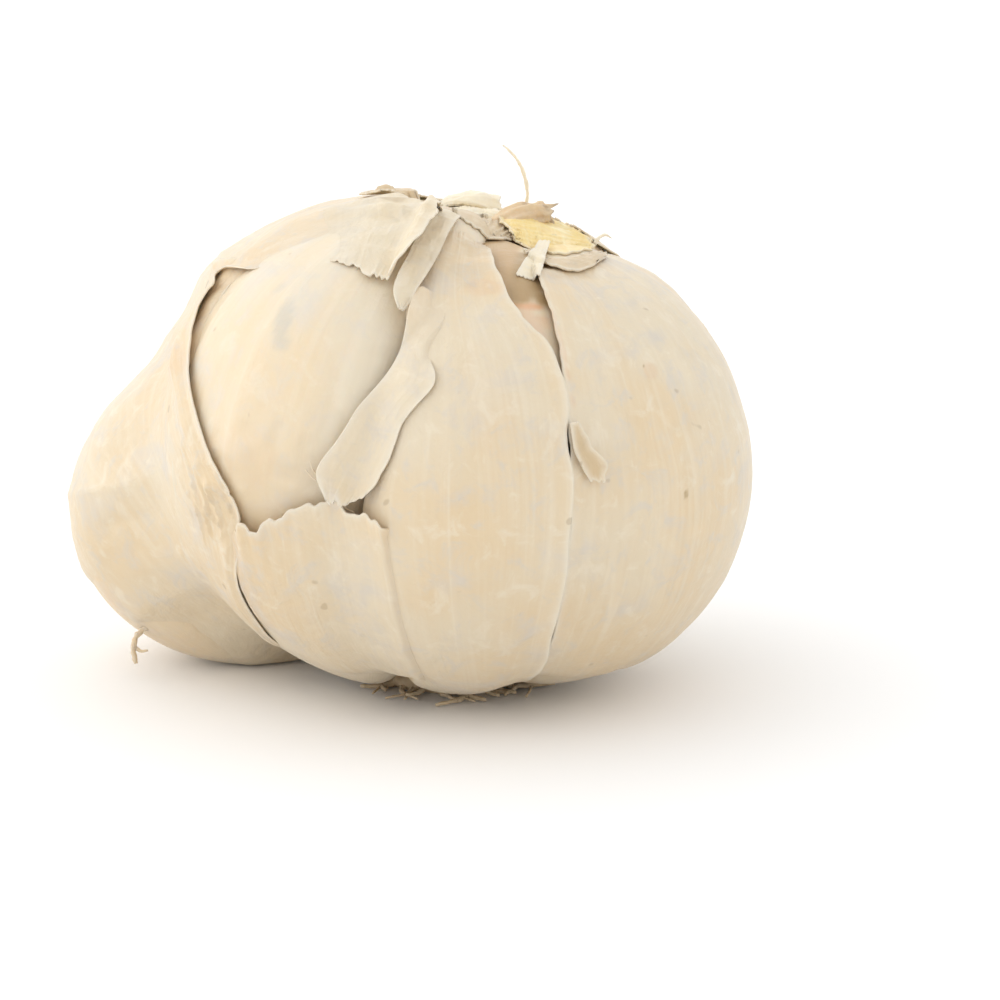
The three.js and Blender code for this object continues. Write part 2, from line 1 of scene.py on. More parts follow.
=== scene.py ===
# %% [markdown]
# # A garlic bulb
#
# This lesson dresses a plain solid model of a garlic bulb: seven cloves that stand round a dry
# stalk on a root plate, in what is left of their papery skins. One clove has splayed out to the
# left. The solids give every piece its place, and Blender gives it its surface.
#
# First the solid model is loaded, at its own size, because the dressed bulb must not outgrow it.

# %% Load the solid model
import math

import bpy
import numpy as np
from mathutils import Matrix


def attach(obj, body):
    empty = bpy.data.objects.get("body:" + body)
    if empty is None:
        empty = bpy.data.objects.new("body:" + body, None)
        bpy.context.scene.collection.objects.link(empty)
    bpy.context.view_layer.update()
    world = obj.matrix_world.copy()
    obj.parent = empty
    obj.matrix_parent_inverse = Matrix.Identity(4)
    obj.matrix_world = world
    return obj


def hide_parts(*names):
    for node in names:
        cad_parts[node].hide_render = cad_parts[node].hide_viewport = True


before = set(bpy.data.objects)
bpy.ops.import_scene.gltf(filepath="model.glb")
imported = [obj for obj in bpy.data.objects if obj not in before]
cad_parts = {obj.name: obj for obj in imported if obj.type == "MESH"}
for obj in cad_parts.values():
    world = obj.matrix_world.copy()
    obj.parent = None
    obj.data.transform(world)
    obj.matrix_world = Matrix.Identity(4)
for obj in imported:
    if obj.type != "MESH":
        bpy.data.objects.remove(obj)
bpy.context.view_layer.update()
MM = 0.001                               # the numbers below are millimetres, Blender's are metres
print("solid nodes:", len(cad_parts))

# %% [markdown]
# ## Camera
#
# A long lens from a good distance keeps the bulb's proportions. The camera stands in front, a
# little above the bulb, and looks down at 13 degrees.

# %% Camera
CAMERA_AIM = (5.15, 0, 17.2)
CAMERA_DISTANCE = 270
CAMERA_RISE = math.radians(13)

camera = bpy.data.objects.new("camera", bpy.data.cameras.new("camera"))
camera.data.lens = 100
camera.data.sensor_width = 36
camera.data.clip_start = 0.01
camera.location = [
    CAMERA_AIM[0] * MM,
    -CAMERA_DISTANCE * math.cos(CAMERA_RISE) * MM,
    (CAMERA_AIM[2] + CAMERA_DISTANCE * math.sin(CAMERA_RISE)) * MM,
]
camera.rotation_euler = (math.radians(90) - CAMERA_RISE, 0, 0)
scene = bpy.context.scene
scene.collection.objects.link(camera)
scene.camera = camera
print("camera:", [round(place, 3) for place in camera.location], "m")

# %% [markdown]
# ## Light
#
# The bulb stands in a tent of soft light. The world itself glows in wide lobes, the strongest
# from both sides, and that gives the shading that lets the cloves look round. A spot or a sun
# would draw hard shadows between them.

# %% Light
LOBE_FOCUS = 3                           # the power of the cosine: more makes the lobes narrower


def soft_tent(lobes):
    """A world of soft glows. Each is a direction and a strength, as wide as a window."""
    world = bpy.data.worlds.new("studio")
    world.use_nodes = True
    nodes, links = world.node_tree.nodes, world.node_tree.links
    facing = nodes.new("ShaderNodeTexCoord").outputs["Generated"]
    total = None
    for direction, strength in lobes:
        towards = nodes.new("ShaderNodeVectorMath")
        towards.operation = "DOT_PRODUCT"
        towards.inputs[1].default_value = np.array(direction) / np.linalg.norm(direction)
        links.new(facing, towards.inputs[0])
        value = towards.outputs["Value"]
        for operation, number in (("MAXIMUM", 0), ("POWER", LOBE_FOCUS), ("MULTIPLY", strength)):
            step = nodes.new("ShaderNodeMath")
            step.operation = operation
            step.inputs[1].default_value = number
            links.new(value, step.inputs[0])
            value = step.outputs[0]
        if total is not None:
            add = nodes.new("ShaderNodeMath")
            links.new(total, add.inputs[0])
            links.new(value, add.inputs[1])
            value = add.outputs[0]
        total = value
    links.new(total, nodes["Background"].inputs["Strength"])
    nodes["Background"].inputs["Color"].default_value = (1, 1, 1, 1)
    scene.world = world


soft_tent([
    ((0, 0, 1), 0.24), ((0, -1, 0.21), 0.66), ((1, 0, 0.21), 1.36), ((0, 1, 0.21), 0.96),
    ((-1, 0, 0.21), 1.66), ((-1, 1, 1.41), 0.76), ((-1, -1, 1.41), 0.6), ((1, 1, 1.41), 0.22),
    ((1, -1, 1.41), 0.3),
])
scene.view_settings.view_transform = "Standard"
print("world:", scene.world.name)

# %% [markdown]
# ## From points to meshes
#
# Skins and cloves are grids of points, so a small helper turns a grid into a mesh. It keeps a map
# called "grain" that runs along the fibres, in units of 50 mm, for the veins in the finishes.
# Numbers for each point, such as how deep it lies in a crease, go along as attributes.

# %% Mesh helpers
GRAIN = 50.0                             # millimetres to one unit of the grain map


def build_piece(name, *parts):
    """One object from parts. A part is points in mm, faces, grain per corner, and its marks."""
    points, faces, grain, marks = [], [], [], {}
    for part_points, part_faces, part_grain, part_marks in parts:
        before = sum(map(len, points))
        faces += [[before + number for number in face] for face in part_faces]
        for mark in {**marks, **part_marks}:
            known = marks.setdefault(mark, np.zeros(before))
            marks[mark] = np.concatenate([known, part_marks.get(mark, np.zeros(len(part_points)))])
        points.append(np.asarray(part_points))
        grain.append(part_grain)
    mesh = bpy.data.meshes.new(name)
    mesh.from_pydata((np.concatenate(points) * MM).tolist(), [], faces)
    grain = np.concatenate(grain).astype(np.float32)
    mesh.uv_layers.new(name="grain").data.foreach_set("uv", grain.ravel())
    for mark, values in marks.items():
        layer = mesh.attributes.new(mark, "FLOAT", "POINT")
        layer.data.foreach_set("value", values.astype(np.float32))
    mesh.polygons.foreach_set("use_smooth", np.ones(len(mesh.polygons), bool))
    mesh.update()
    piece = bpy.data.objects.new(name, mesh)
    scene.collection.objects.link(piece)
    return piece


def quad_grid(rows, columns, stride):
    """The four corner numbers of every cell in a grid of points with that many in a row."""
    i, j = np.meshgrid(np.arange(rows), np.arange(columns), indexing="ij")
    first = (i * stride + j).ravel()
    return np.stack([first, first + 1, first + stride + 1, first + stride], axis=1)


def closed_rings(rings, ends, size, marks=None):
    """A closed body from rings of points and its two end points. size is (girth, length) in mm."""
    m, n = rings.shape[:2]
    i, j = np.meshgrid(np.arange(m - 1), np.arange(n), indexing="ij")
    i, j = i.ravel(), j.ravel()
    k = (j + 1) % n
    quads = np.stack([i * n + j, i * n + k, (i + 1) * n + k, (i + 1) * n + j], axis=1)
    u = np.stack([j, j + 1, j + 1, j], axis=1) / n * size[0] / GRAIN
    v = np.stack([i, i, i + 1, i + 1], axis=1) / (m - 1) * size[1] / GRAIN
    turn = np.arange(n)
    last = (m - 1) * n
    foot = np.stack([np.full(n, m * n), (turn + 1) % n, turn], axis=1)
    head = np.stack([np.full(n, m * n + 1), last + turn, last + (turn + 1) % n], axis=1)
    caps = []
    for along, first, second in ((0, 1, 0), (size[1] / GRAIN, 0, 1)):
        across = np.stack([turn + 0.5, turn + first, turn + second], axis=1)
        across = across / n * size[0] / GRAIN
        caps.append(np.stack([across, np.full((n, 3), along)], axis=2).reshape(-1, 2))
    grain = np.concatenate([np.stack([u, v], axis=2).reshape(-1, 2), *caps])
    faces = quads.tolist() + foot.tolist() + head.tolist()
    points = np.concatenate([rings.reshape(-1, 3), ends])
    marks = {
        mark: np.concatenate([values.ravel(), [values[0].mean(), values[-1].mean()]])
        for mark, values in (marks or {}).items()
    }
    return points, faces, grain, marks


def normals_of(grid, heart):
    """Unit normals of an open grid of points, turned away from a point inside, if one is given."""
    along = np.gradient(grid, axis=0)
    across = np.gradient(grid, axis=1)
    normal = np.cross(along, across)
    normal /= np.maximum(np.linalg.norm(normal, axis=2, keepdims=True), 1e-9)
    if heart is None:
        up = normal[..., 2].mean() > 0
        return normal if up else -normal
    inward = np.einsum("ijk,ijk->ij", normal, grid - heart) < 0
    normal[inward] *= -1
    return normal


def thin_sheet(grid, thick, heart, marks):
    """A sheet with two faces and a rim, from its middle layer. thick is one number or a grid."""
    m, n = grid.shape[:2]
    normal = normals_of(grid, heart)
    faces = quad_grid(m - 1, n - 1, n)
    # the upper face runs anticlockwise seen from outside, the lower face the other way round
    a, b, d = (grid.reshape(-1, 3)[faces[:, k]] for k in (0, 1, 3))
    outwards = normal.reshape(-1, 3)[faces[:, 0]]
    turned = np.einsum("ij,ij->i", np.cross(b - a, d - a), outwards).mean()
    upper = faces if turned > 0 else faces[:, ::-1]
    lower = upper[:, ::-1] + m * n
    sides = np.concatenate([upper[:, [k, (k + 1) % 4]] for k in range(4)])
    codes = sides[:, 0] * (m * n) + sides[:, 1]
    rim = sides[~np.isin(codes, sides[:, 1] * (m * n) + sides[:, 0])]
    walls = np.stack([rim[:, 1], rim[:, 0], rim[:, 0] + m * n, rim[:, 1] + m * n], axis=1)
    every = np.concatenate([upper, lower, walls])
    half = normal * (thick / 2 if np.isscalar(thick) else thick[:, :, None] / 2)
    points = np.concatenate([(grid + half).reshape(-1, 3), (grid - half).reshape(-1, 3)])
    wide = np.linalg.norm(np.diff(grid, axis=1), axis=2).sum(axis=1).max()
    tall = np.linalg.norm(np.diff(grid, axis=0), axis=2).sum(axis=0).max()
    t, s = np.meshgrid(np.linspace(0, wide / GRAIN, n), np.linspace(0, tall / GRAIN, m))
    grain = np.stack([t, s], axis=2).reshape(-1, 2)[every % (m * n)].reshape(-1, 2)
    marks = {mark: np.concatenate([values.ravel()] * 2) for mark, values in marks.items()}
    return points, every.tolist(), grain, marks


print("cells in a grid of 3 by 4 points:", len(quad_grid(2, 3, 4)))

# %% [markdown]
# ## Chance, but the same each time
#
# Grown things are uneven. A sum of many waves in seeded random directions makes a smooth uneven
# field, and the same seed always gives the same field. A noise texture would do for colour, but
# the shapes need numbers that the mesh code can read.

# %% Uneven fields
WAVES = 18
CREASE_SHARPNESS = 5


def field(points, size, seed, stretch=(1, 1, 1)):
    """A smooth random field, mostly between -1 and 1, with bumps about size mm across."""
    rng = np.random.default_rng(seed)
    total = np.zeros(points.shape[:-1])
    for _ in range(WAVES):
        direction = rng.normal(size=points.shape[-1])
        direction /= np.linalg.norm(direction)
        direction /= np.array(stretch[: points.shape[-1]])
        speed = math.pi / size * rng.uniform(0.7, 1.35)
        total += np.sin(points @ direction * speed + rng.uniform(0, 2 * math.pi))
    return total / math.sqrt(WAVES) * 0.9


def creases(points, size, seed, stretch=(1, 1, 1)):
    """Sharp ridges, near 1 along thin lines and near 0 between them."""
    return np.exp(-np.abs(field(points, size, seed, stretch)) * CREASE_SHARPNESS)


def smooth_step(value, low, high):
    """0 below low, 1 above high, and a soft rise between them."""
    share = np.clip((value - low) / (high - low), 0, 1)
    return share * share * (3 - 2 * share)


def softer_least(a, b, soft):
    """The smaller of two numbers, with the corner where they meet rounded off."""
    near = np.maximum(soft - np.abs(a - b), 0) / soft
    return np.minimum(a, b) - near * near * soft / 4


sample = field(np.stack(np.mgrid[:40, :40], axis=-1).astype(float), size=5, seed=1)
print("a field runs from", sample.min().round(2), "to", sample.max().round(2))

# %% [markdown]
# Roots, hairs and folds follow curves. A table holds a few points of each, and a Catmull-Rom
# curve runs smoothly through all of them, which a Bezier curve would not.

# %% Curves and strands
def through(values, s):
    """A smooth curve through evenly spaced values (first axis), at s from 0 to 1."""
    last = len(values) - 1
    k = np.clip(np.floor(s * last).astype(int), 0, last - 1)
    padded = np.concatenate([[2 * values[0] - values[1]], values, [2 * values[-1] - values[-2]]])
    if padded.ndim == 1:
        a, b, c, d = (padded[k + n] for n in range(4))
    else:
        rest = np.indices(k.shape)
        a, b, c, d = (padded[(k + n, *rest)] for n in range(4))
    t = s * last - k
    curve = (c - a) / 2 + t * (a - 2.5 * b + 2 * c - d / 2 + t * ((d - a) / 2 + 1.5 * (b - c)))
    return b + t * curve


def make_strand(points, radii, seed, sides=10, steps=40, rough=0.1):
    """A round strand through points, with one radius each, closed and blunt at both ends."""
    points, radii = np.array(points, float), np.array(radii, float)
    s = np.linspace(0, 1, steps)
    place = np.stack([through(points[:, k], s) for k in range(3)], axis=-1)
    radius = np.maximum(through(radii, s), 0.02)
    ahead = np.gradient(place, axis=0)
    ahead /= np.linalg.norm(ahead, axis=1, keepdims=True)
    side = np.cross(ahead, [0.31, 0.87, 0.38])
    side /= np.linalg.norm(side, axis=1, keepdims=True)
    up = np.cross(ahead, side)
    turn = np.linspace(0, 2 * math.pi, sides, endpoint=False)
    out = side[:, None] * np.cos(turn)[:, None] + up[:, None] * np.sin(turn)[:, None]
    rings = place[:, None] + out * radius[:, None, None]
    bumps = field(rings, max(radii.max(), 0.3), seed) * rough
    rings = rings + out * (bumps * np.minimum(radius, 1)[:, None])[..., None]
    length = np.linalg.norm(np.diff(place, axis=0), axis=1).sum()
    return closed_rings(rings, place[[0, -1]], (2 * math.pi * radii.mean(), length))


quarter = through(np.array([0.0, 1.0, 4.0]), np.array(0.25))
print("a quarter of the way through 0, 1 and 4:", quarter)

# %% [markdown]
# ## Cloves
#
# A clove is a bent teardrop. Its middle line bows outwards, and its section is a rounded oval. It
# could be sculpted by hand, but a formula has a great advantage: it can also say whether any point
# in space is inside. Neighbours share out the space between them that way, so the cloves press
# flat against each other like real ones and never cut through.

# %% The clove formula
HEART = np.array([2.6, 0, 21.0])         # the middle of the bulb, from which skins are measured
AXIS_FOOT = np.array([1.0, 0, 0])
AXIS_TOP = np.array([4.5, 0, 45.0])
STALK_RADIUS = 2.6
PLATE_RADIUS = 8.6
PLATE_HEIGHT = 2.0
PLATE_MARGIN = 1.6                       # the plate's rim isn't round: nothing comes this near it
AIR = 0.35
CONTACT = 0.03                           # gap between cloves, as a share of their own radius
ROUNDNESS = 2.2                          # 2 is an oval, more makes it squarer
FOOT_RING, TIP_RING = 10.9, 3            # how far from the axis a standing clove's two ends are
FOOT_HEIGHT = 1


def hump(t, rise, fall):
    """Rises from 0 and falls back to 0, with 1 at its peak."""
    peak = rise / (rise + fall)
    return t**rise * (1 - t) ** fall / (peak**rise * (1 - peak) ** fall)


class Clove:
    """A bent teardrop from base to tip.

    half, outer and inner are its radii to the sides, away from the bulb's axis and towards it.
    swell says how they grow along it, and bow and bend how far the middle line bows out. A clove
    with more weight presses its neighbours flatter. ribs are (degrees round the section, mm).
    """

    def __init__(self, base, tip, azimuth, half, outer, inner, bow, swell, bend, weight=1, ribs=()):
        self.base = np.array(base, float)
        axis = np.array(tip, float) - self.base
        self.length = np.linalg.norm(axis)
        self.axis = axis / self.length
        turn = math.radians(azimuth)
        out = np.array([math.sin(turn), -math.cos(turn), 0])
        out -= out @ self.axis * self.axis
        self.out = out / np.linalg.norm(out)
        self.side = np.cross(self.axis, self.out)
        self.half, self.outer, self.inner, self.bow = half, outer, inner, bow
        self.swell, self.bend, self.weight, self.ribs = swell, bend, weight, ribs

    def centre(self, t):
        t = np.asarray(t, float)[..., None]
        return self.base + self.axis * t * self.length + self.out * self.bow * hump(t, *self.bend)

    def radius(self, t, f):
        swell = hump(t, *self.swell)
        depth = np.where(np.sin(f) > 0, self.outer, self.inner)
        a = np.abs(np.cos(f)) / (self.half * swell)
        b = np.abs(np.sin(f)) / (depth * swell)
        return 1 / (a**ROUNDNESS + b**ROUNDNESS) ** (1 / ROUNDNESS)

    def level(self, points):
        """Below 1 inside, 1 on the surface."""
        d = points - self.base
        t = d @ self.axis / self.length
        safe = np.clip(t, 1e-6, 1 - 1e-6)
        swell = hump(safe, *self.swell)
        outwards = d @ self.out - self.bow * hump(safe, *self.bend)
        a = np.abs(d @ self.side) / (self.half * swell)
        b = np.abs(outwards) / (np.where(outwards > 0, self.outer, self.inner) * swell)
        level = (a**ROUNDNESS + b**ROUNDNESS) ** (1 / ROUNDNESS)
        return np.where((t > 0) & (t < 1), level, 1000.0)


def standing(azimuth, top, **changes):
    """A clove that stands in the ring. They differ in where they stand and how full they are."""
    shape = dict(half=14, outer=12, inner=16, bow=11.6, swell=(0.5, 0.52), bend=(0.55, 0.5))
    out = np.array([math.sin(math.radians(azimuth)), -math.cos(math.radians(azimuth))])
    base = [*(AXIS_FOOT[:2] + FOOT_RING * out), FOOT_HEIGHT]
    tip = [*(AXIS_TOP[:2] + TIP_RING * out), top]
    return Clove(base, tip, azimuth, **{**shape, **changes})


cloves = {
    "clove_left_splayed": Clove(
        (-8.7, 4, 1.5), (-16.9, 3, 33.7), -100, half=13, outer=9.8, inner=11.8, bow=15,
        swell=(0.48, 0.3), bend=(0.33, 0.45), ribs=((60, 0.25), (120, 0.2)),
    ),
    "clove_front_left": standing(
        -50, top=45.4, bow=13.1, half=14.5, swell=(0.5, 0.48), weight=1.6,
        ribs=((70, 0.2), (115, 0.2)),
    ),
    "clove_front": standing(-2, bow=10.7, top=43.2, half=13.5, ribs=((82, 0.45),)),
    "clove_right_front": standing(
        52, top=42.5, bow=8.6, half=14.4, outer=12.4, swell=(0.42, 0.47), weight=1.25,
        ribs=((60, 0.25), (100, 0.25)),
    ),
    "clove_right_back": standing(
        106, top=42, bow=7.5, outer=11.6, ribs=((75, 0.25), (105, 0.25))
    ),
    "clove_back": standing(160, top=43.5, bow=9.9, ribs=((65, 0.25), (110, 0.25))),
    "clove_back_left": standing(
        -128, top=44.4, bow=14.5, half=13.8, swell=(0.5, 0.4), weight=0.8, ribs=((80, 0.25),)
    ),
}
print("cloves:", ", ".join(cloves))

# %% [markdown]
# ## Stains and painted shade
#
# A few marks lie at a known place: a grey bruise, a brown dot, an orange rim. A few brown ovals are
# painted shade instead: in the hollow at the top of the middle clove, where its skin is cut away,
# on the flap over the front-left clove, and low on the front-left clove. Each is an oval in
# longitude and latitude with a wandering edge. Painted as attributes, they stay where they are
# however the skin is shaped, and the finishes only turn them into colour.

# %% Stains and painted shade by place
def compass(longitude, latitude):
    """The direction of a place on the bulb, seen from its heart. Longitude 0 is the front."""
    a, b = np.radians(longitude), np.radians(latitude)
    return np.stack([np.sin(a) * np.cos(b), -np.cos(a) * np.cos(b), np.sin(b)], axis=-1)


def angles(direction):
    longitude = np.degrees(np.arctan2(direction[..., 0], -direction[..., 1]))
    return longitude, np.degrees(np.arcsin(np.clip(direction[..., 2], -1, 1)))


def painted(points, spots):
    """spots: (mark, longitude, latitude, half width, half height, tilt in degrees, strength)."""
    away = points - HEART
    away = away / np.linalg.norm(away, axis=-1, keepdims=True)
    marks = {mark: np.zeros(points.shape[:-1]) for mark in ("bruise", "stain_and_shade", "blush")}
    for k, (mark, longitude, latitude, wide, tall, tilt, strength) in enumerate(spots):
        middle = compass(longitude, latitude)
        east = compass(longitude + 90, 0)
        north = np.cross(east, middle)
        x, y = np.degrees(away @ east), np.degrees(away @ north)
        turn = math.radians(tilt)
        across = (x * math.cos(turn) + y * math.sin(turn)) / wide
        along = (y * math.cos(turn) - x * math.sin(turn)) / tall
        rough = 0.25 * field(points, 1.2, 300 + k)
        near = smooth_step(1.25 - np.hypot(across, along) + rough, 0, 0.7)
        near = near * (away @ middle > 0)
        marks[mark] = np.maximum(marks[mark], strength * near)
    return marks


SPOTS = {
    "clove_front_left": (
        ("bruise", -38.4, 33.0, 1.9, 5, -16, 0.75), ("bruise", -44.5, 38.6, 1.3, 1.0, 0, 0.5),
        ("stain_and_shade", -27, 20, 2.0, 7.0, 14, 0.15), ("stain_and_shade", -37, 6, 9, 4, 0, 0.12),
        # the broad brown oval at longitude -34, low on this clove, is painted shade
        ("stain_and_shade", -34, -2, 26, 17, 0, 0.26), ("stain_and_shade", -16, 24, 5, 16, 8, 0.2),
        ("stain_and_shade", -42, 62, 14, 6, 0, 0.25), ("blush", -40, 10, 9, 6, 0, 0.16),
    ),
    "clove_back_left": (("stain_and_shade", -98, 36, 14, 10, 0, 0.3),),
    "clove_front": (
        ("blush", 12.5, 42.6, 5.5, 1.1, 0, 1.0), ("blush", 13, 37, 5, 5, 0, 0.45),
        # painted shade: this brown oval darkens the hollow where the skin is cut away
        ("stain_and_shade", 14, 53, 13, 11, 0, 1.0),
    ),
    # the first brown oval is painted shade in the same hollow; the orange stripe is the skin's own
    "clove_right_front": (("stain_and_shade", 20, 46, 4, 7, 0, 0.8), ("blush", 20.5, 33, 2, 12, 0, 0.6)),
    "clove_left_splayed": (("stain_and_shade", -60, 2, 7, 3, 0, 0.3),),
    "wrapper_left": (("blush", -64, 22, 5, 3, 0, 0.25), ("stain_and_shade", -92, 50, 9, 2, 10, 0.12)),
    "inner_skin": (("stain_and_shade", -80, 38, 50, 40, 0, 0.16),),
    "wrapper_right": (
        ("stain_and_shade", 43, 3, 0.8, 0.8, 0, 0.9), ("blush", 40, 27, 2.2, 1.8, 0, 0.3),
        ("stain_and_shade", 39.5, 28, 0.4, 0.3, 0, 0.8), ("blush", 19.4, 34, 0.9, 12, 0, 0.35),
        ("stain_and_shade", 34, 52, 9, 2.2, -8, 0.25), ("bruise", 60, 5, 20, 30, 0, 0.25),
        ("stain_and_shade", 26, 4, 9, 22, 0, 0.12),
    ),
    "skin_front": (
        ("bruise", 0, 51, 5, 4.5, 0, 0.4), ("blush", 3, 46, 4, 3, 0, 0.3),
        ("stain_and_shade", 6, 62, 6, 6, 0, 0.25), ("blush", 4, 22, 5, 12, 0, 0.14),
    ),
    # both brown ovals are painted shadow: under a fold of the flap, and along one side of its
    # tongue
    "cap_flap": (("stain_and_shade", -60, 71, 4, 3, 0, 0.5), ("stain_and_shade", -10.5, 52, 1.2, 9, 0, 0.3)),
}
print("marks by place:", sum(map(len, SPOTS.values())))

# %% [markdown]
# Each clove keeps the space where its own level is the lowest. From the middle line, a search
# goes outwards in every direction until a neighbour, the stalk or the ground is in the way. The
# corner where the round back meets a pressed side is rounded off, as skin is when it stretches.

# %% Cloves pressed together
RINGS = 100
SIDES = 150
FIRST_RING, RINGS_SPAN = 0.002, 0.996    # along the clove, as shares of its length
SEARCH_STEPS = 12
HALVINGS = 9                             # each halves what a search is still unsure of
PRESSED, OPEN = 0.86, 1.0                # shares of the full radius: less is pressed, more is free
CORNER = 0.09                            # how softly a round back turns into a pressed side
RIB_WIDTH = 9                            # degrees
VEIN_DEPTH = 0.09
CLOVE_SIZE = (75, 44)                    # girth and length in mm, for the grain map


def free_space(clove, share, points):
    """True where a point is clear of the ground, the stalk, the root plate and other cloves."""
    lean = AXIS_FOOT + (AXIS_TOP - AXIS_FOOT) * points[..., 2:] / AXIS_TOP[2]
    from_stalk = np.hypot(points[..., 0] - lean[..., 0], points[..., 1] - lean[..., 1])
    from_middle = np.hypot(points[..., 0], points[..., 1])
    free = (points[..., 2] >= 0) & (from_stalk > STALK_RADIUS + AIR)
    past_plate = from_middle > PLATE_RADIUS + PLATE_MARGIN + AIR
    free &= (points[..., 2] > PLATE_HEIGHT + AIR) | past_plate
    for other in cloves.values():
        if other is not clove:
            free &= other.level(points) - share * other.weight / clove.weight >= CONTACT
    return free


def furthest_share(clove, centre, direction, reach):
    """How much of its full radius a clove may take up, from 0 to 1."""
    at = lambda share: centre + direction * (share * reach)[..., None]
    low = np.zeros(reach.shape)
    going = np.ones(reach.shape, bool)
    for step in range(1, SEARCH_STEPS + 1):
        share = np.full(reach.shape, step / SEARCH_STEPS)
        going &= free_space(clove, share, at(share))
        low[going] = step / SEARCH_STEPS
    high = np.minimum(low + 1 / SEARCH_STEPS, 1)
    for _ in range(HALVINGS):
        middle = (low + high) / 2
        free = free_space(clove, middle, at(middle))
        low = np.where(free, middle, low)
        high = np.where(free, high, middle)
    return low


def make_clove(name, clove, seed, *extras):
    """The clove's surface, with ribs, veins and dents where it isn't pressed, as one piece."""
    steps = (1 - np.cos(np.linspace(0, math.pi, RINGS))) / 2
    # the rings start on the hidden inner side, so the map's seam is never seen
    turns = np.linspace(270, -90, SIDES, endpoint=False)
    t, f = np.meshgrid(FIRST_RING + RINGS_SPAN * steps, np.radians(turns), indexing="ij")
    centre = clove.centre(t)
    direction = np.cos(f)[..., None] * clove.side + np.sin(f)[..., None] * clove.out
    reach = clove.radius(t, f)
    limit = furthest_share(clove, centre, direction, reach)
    open_air = smooth_step(limit, PRESSED, OPEN)
    share = np.maximum(softer_least(np.ones_like(limit), limit, CORNER), 0.02)
    surface = centre + direction * (share * reach)[..., None]

    degrees = np.degrees(f)
    fade = np.sin(np.pi * t)
    ribs = sum(
        crest * np.exp(-(((degrees - at) / RIB_WIDTH) ** 2)) for at, crest in clove.ribs
    )
    flat = np.stack([degrees, t * 40], axis=-1)
    veins = creases(flat, 9, seed, stretch=(1, 14)) * VEIN_DEPTH
    dents = field(surface, 9, seed + 1) * 0.16 + field(surface, 3.5, seed + 2) * 0.035
    lift = open_air * fade * (ribs + veins + dents)
    surface = surface + direction * lift[..., None]
    surface[..., 2] = np.maximum(surface[..., 2], 0)
    # this mark shows how pressed each point is, and the finish paints shade there, as in a crease
    marks = {"crease_shade": 1 - open_air, "vein": veins / VEIN_DEPTH * open_air}
    marks.update(painted(surface, SPOTS.get(name, ())))
    ends = clove.centre(np.array([FIRST_RING / 2, 1 - FIRST_RING / 2]))
    skin = closed_rings(surface, ends, CLOVE_SIZE, marks)
    return build_piece("skin_of_" + name, skin, *extras)


# the splayed clove has two dry rootlets at its foot
rootlets = {"clove_left_splayed": [make_strand(
    [(-28.6, -1.4, 5.4), (-30.2, -2.2, 4.2), (-30.5, -2.8, 3), (-30.3, -3.2, 1.6)],
    [0.32, 0.28, 0.28, 0.22], seed=95, rough=0.3,
), make_strand(
    [(-30.4, -2.7, 3.1), (-29.8, -3, 2.8), (-29.1, -3.1, 2.9)], [0.2, 0.16, 0.1], seed=96,
    steps=12,
)]}
shown = {}
for seed, (name, clove) in enumerate(cloves.items()):
    shown[name] = make_clove(name, clove, 10 * seed + 1, *rootlets.get(name, ()))
    print(name, len(shown[name].data.vertices), "points")

# %% [markdown]
# ## Papery skins
#
# A garlic skin is a dry leaf, about a tenth of a millimetre thick. It lies tight on the cloves,
# spans the creases between them like a drumhead, and tears along its fibres. Cloth simulation
# could drape it, but a dried skin keeps the shape it shrank to, so it is drawn instead: each skin
# is a small table of longitude, latitude and lift, seen from the heart of the bulb. The table
# says where the skin lies, and the cloves below say how far out.
#
# The ground map below holds how far out the outermost thing is in every direction. Each finished
# skin is added to it, so the next one lies on top and not through it.

# %% The ground that skins lie on
GROUND_STEP = 0.75                       # degrees
LOWEST = -66                             # degrees of latitude: no skin lies lower
FURTHEST, NEAREST, STRIDE = 46.5, 10, 1.5  # mm from the heart, for the search inwards


def clove_reach(direction):
    """How far from the heart the outermost clove is."""
    inside = lambda reach: np.any(
        [c.level(HEART + direction * reach[..., None]) < 1 for c in cloves.values()], axis=0
    )
    far = np.full(direction.shape[:-1], FURTHEST)
    found = np.zeros(far.shape, bool)
    while far.min() > NEAREST and not found.all():
        found |= inside(far)
        far = np.where(found, far, far - STRIDE)
    low, high = far, far + STRIDE
    for _ in range(HALVINGS):
        middle = (low + high) / 2
        hit = inside(middle)
        low, high = np.where(hit, middle, low), np.where(hit, high, middle)
    return low


longitudes = np.arange(-180, 180, GROUND_STEP)
latitudes = np.arange(LOWEST, 90.1, GROUND_STEP)
laid = np.zeros((len(latitudes), len(longitudes)))


def ground_reach(direction):
    """The cloves themselves, or what has been laid on them, whichever is further out."""
    longitude, latitude = angles(direction)
    x = (longitude + 180) / GROUND_STEP
    y = np.clip((latitude - LOWEST) / GROUND_STEP, 0, len(latitudes) - 1.001)
    i, j = np.floor(y).astype(int), np.floor(x).astype(int)
    u, v = y - i, x - j
    wrap = len(longitudes)
    near = laid[i, j % wrap] * (1 - v) + laid[i, (j + 1) % wrap] * v
    far = laid[i + 1, j % wrap] * (1 - v) + laid[i + 1, (j + 1) % wrap] * v
    return np.maximum(clove_reach(direction), near * (1 - u) + far * u)


def lay_down(points):
    """Adds a finished skin to the ground map."""
    away = points.reshape(-1, 3) - HEART
    reach = np.linalg.norm(away, axis=1)
    longitude, latitude = angles(away / reach[:, None])
    i = np.rint((latitude - LOWEST) / GROUND_STEP).astype(int)
    j = np.rint((longitude + 180) / GROUND_STEP).astype(int)
    for di in (-1, 0, 1):
        for dj in (-1, 0, 1):
            row = np.clip(i + di, 0, len(latitudes) - 1)
            np.maximum.at(laid, (row, (j + dj) % len(longitudes)), reach)


print("ground map", laid.shape)

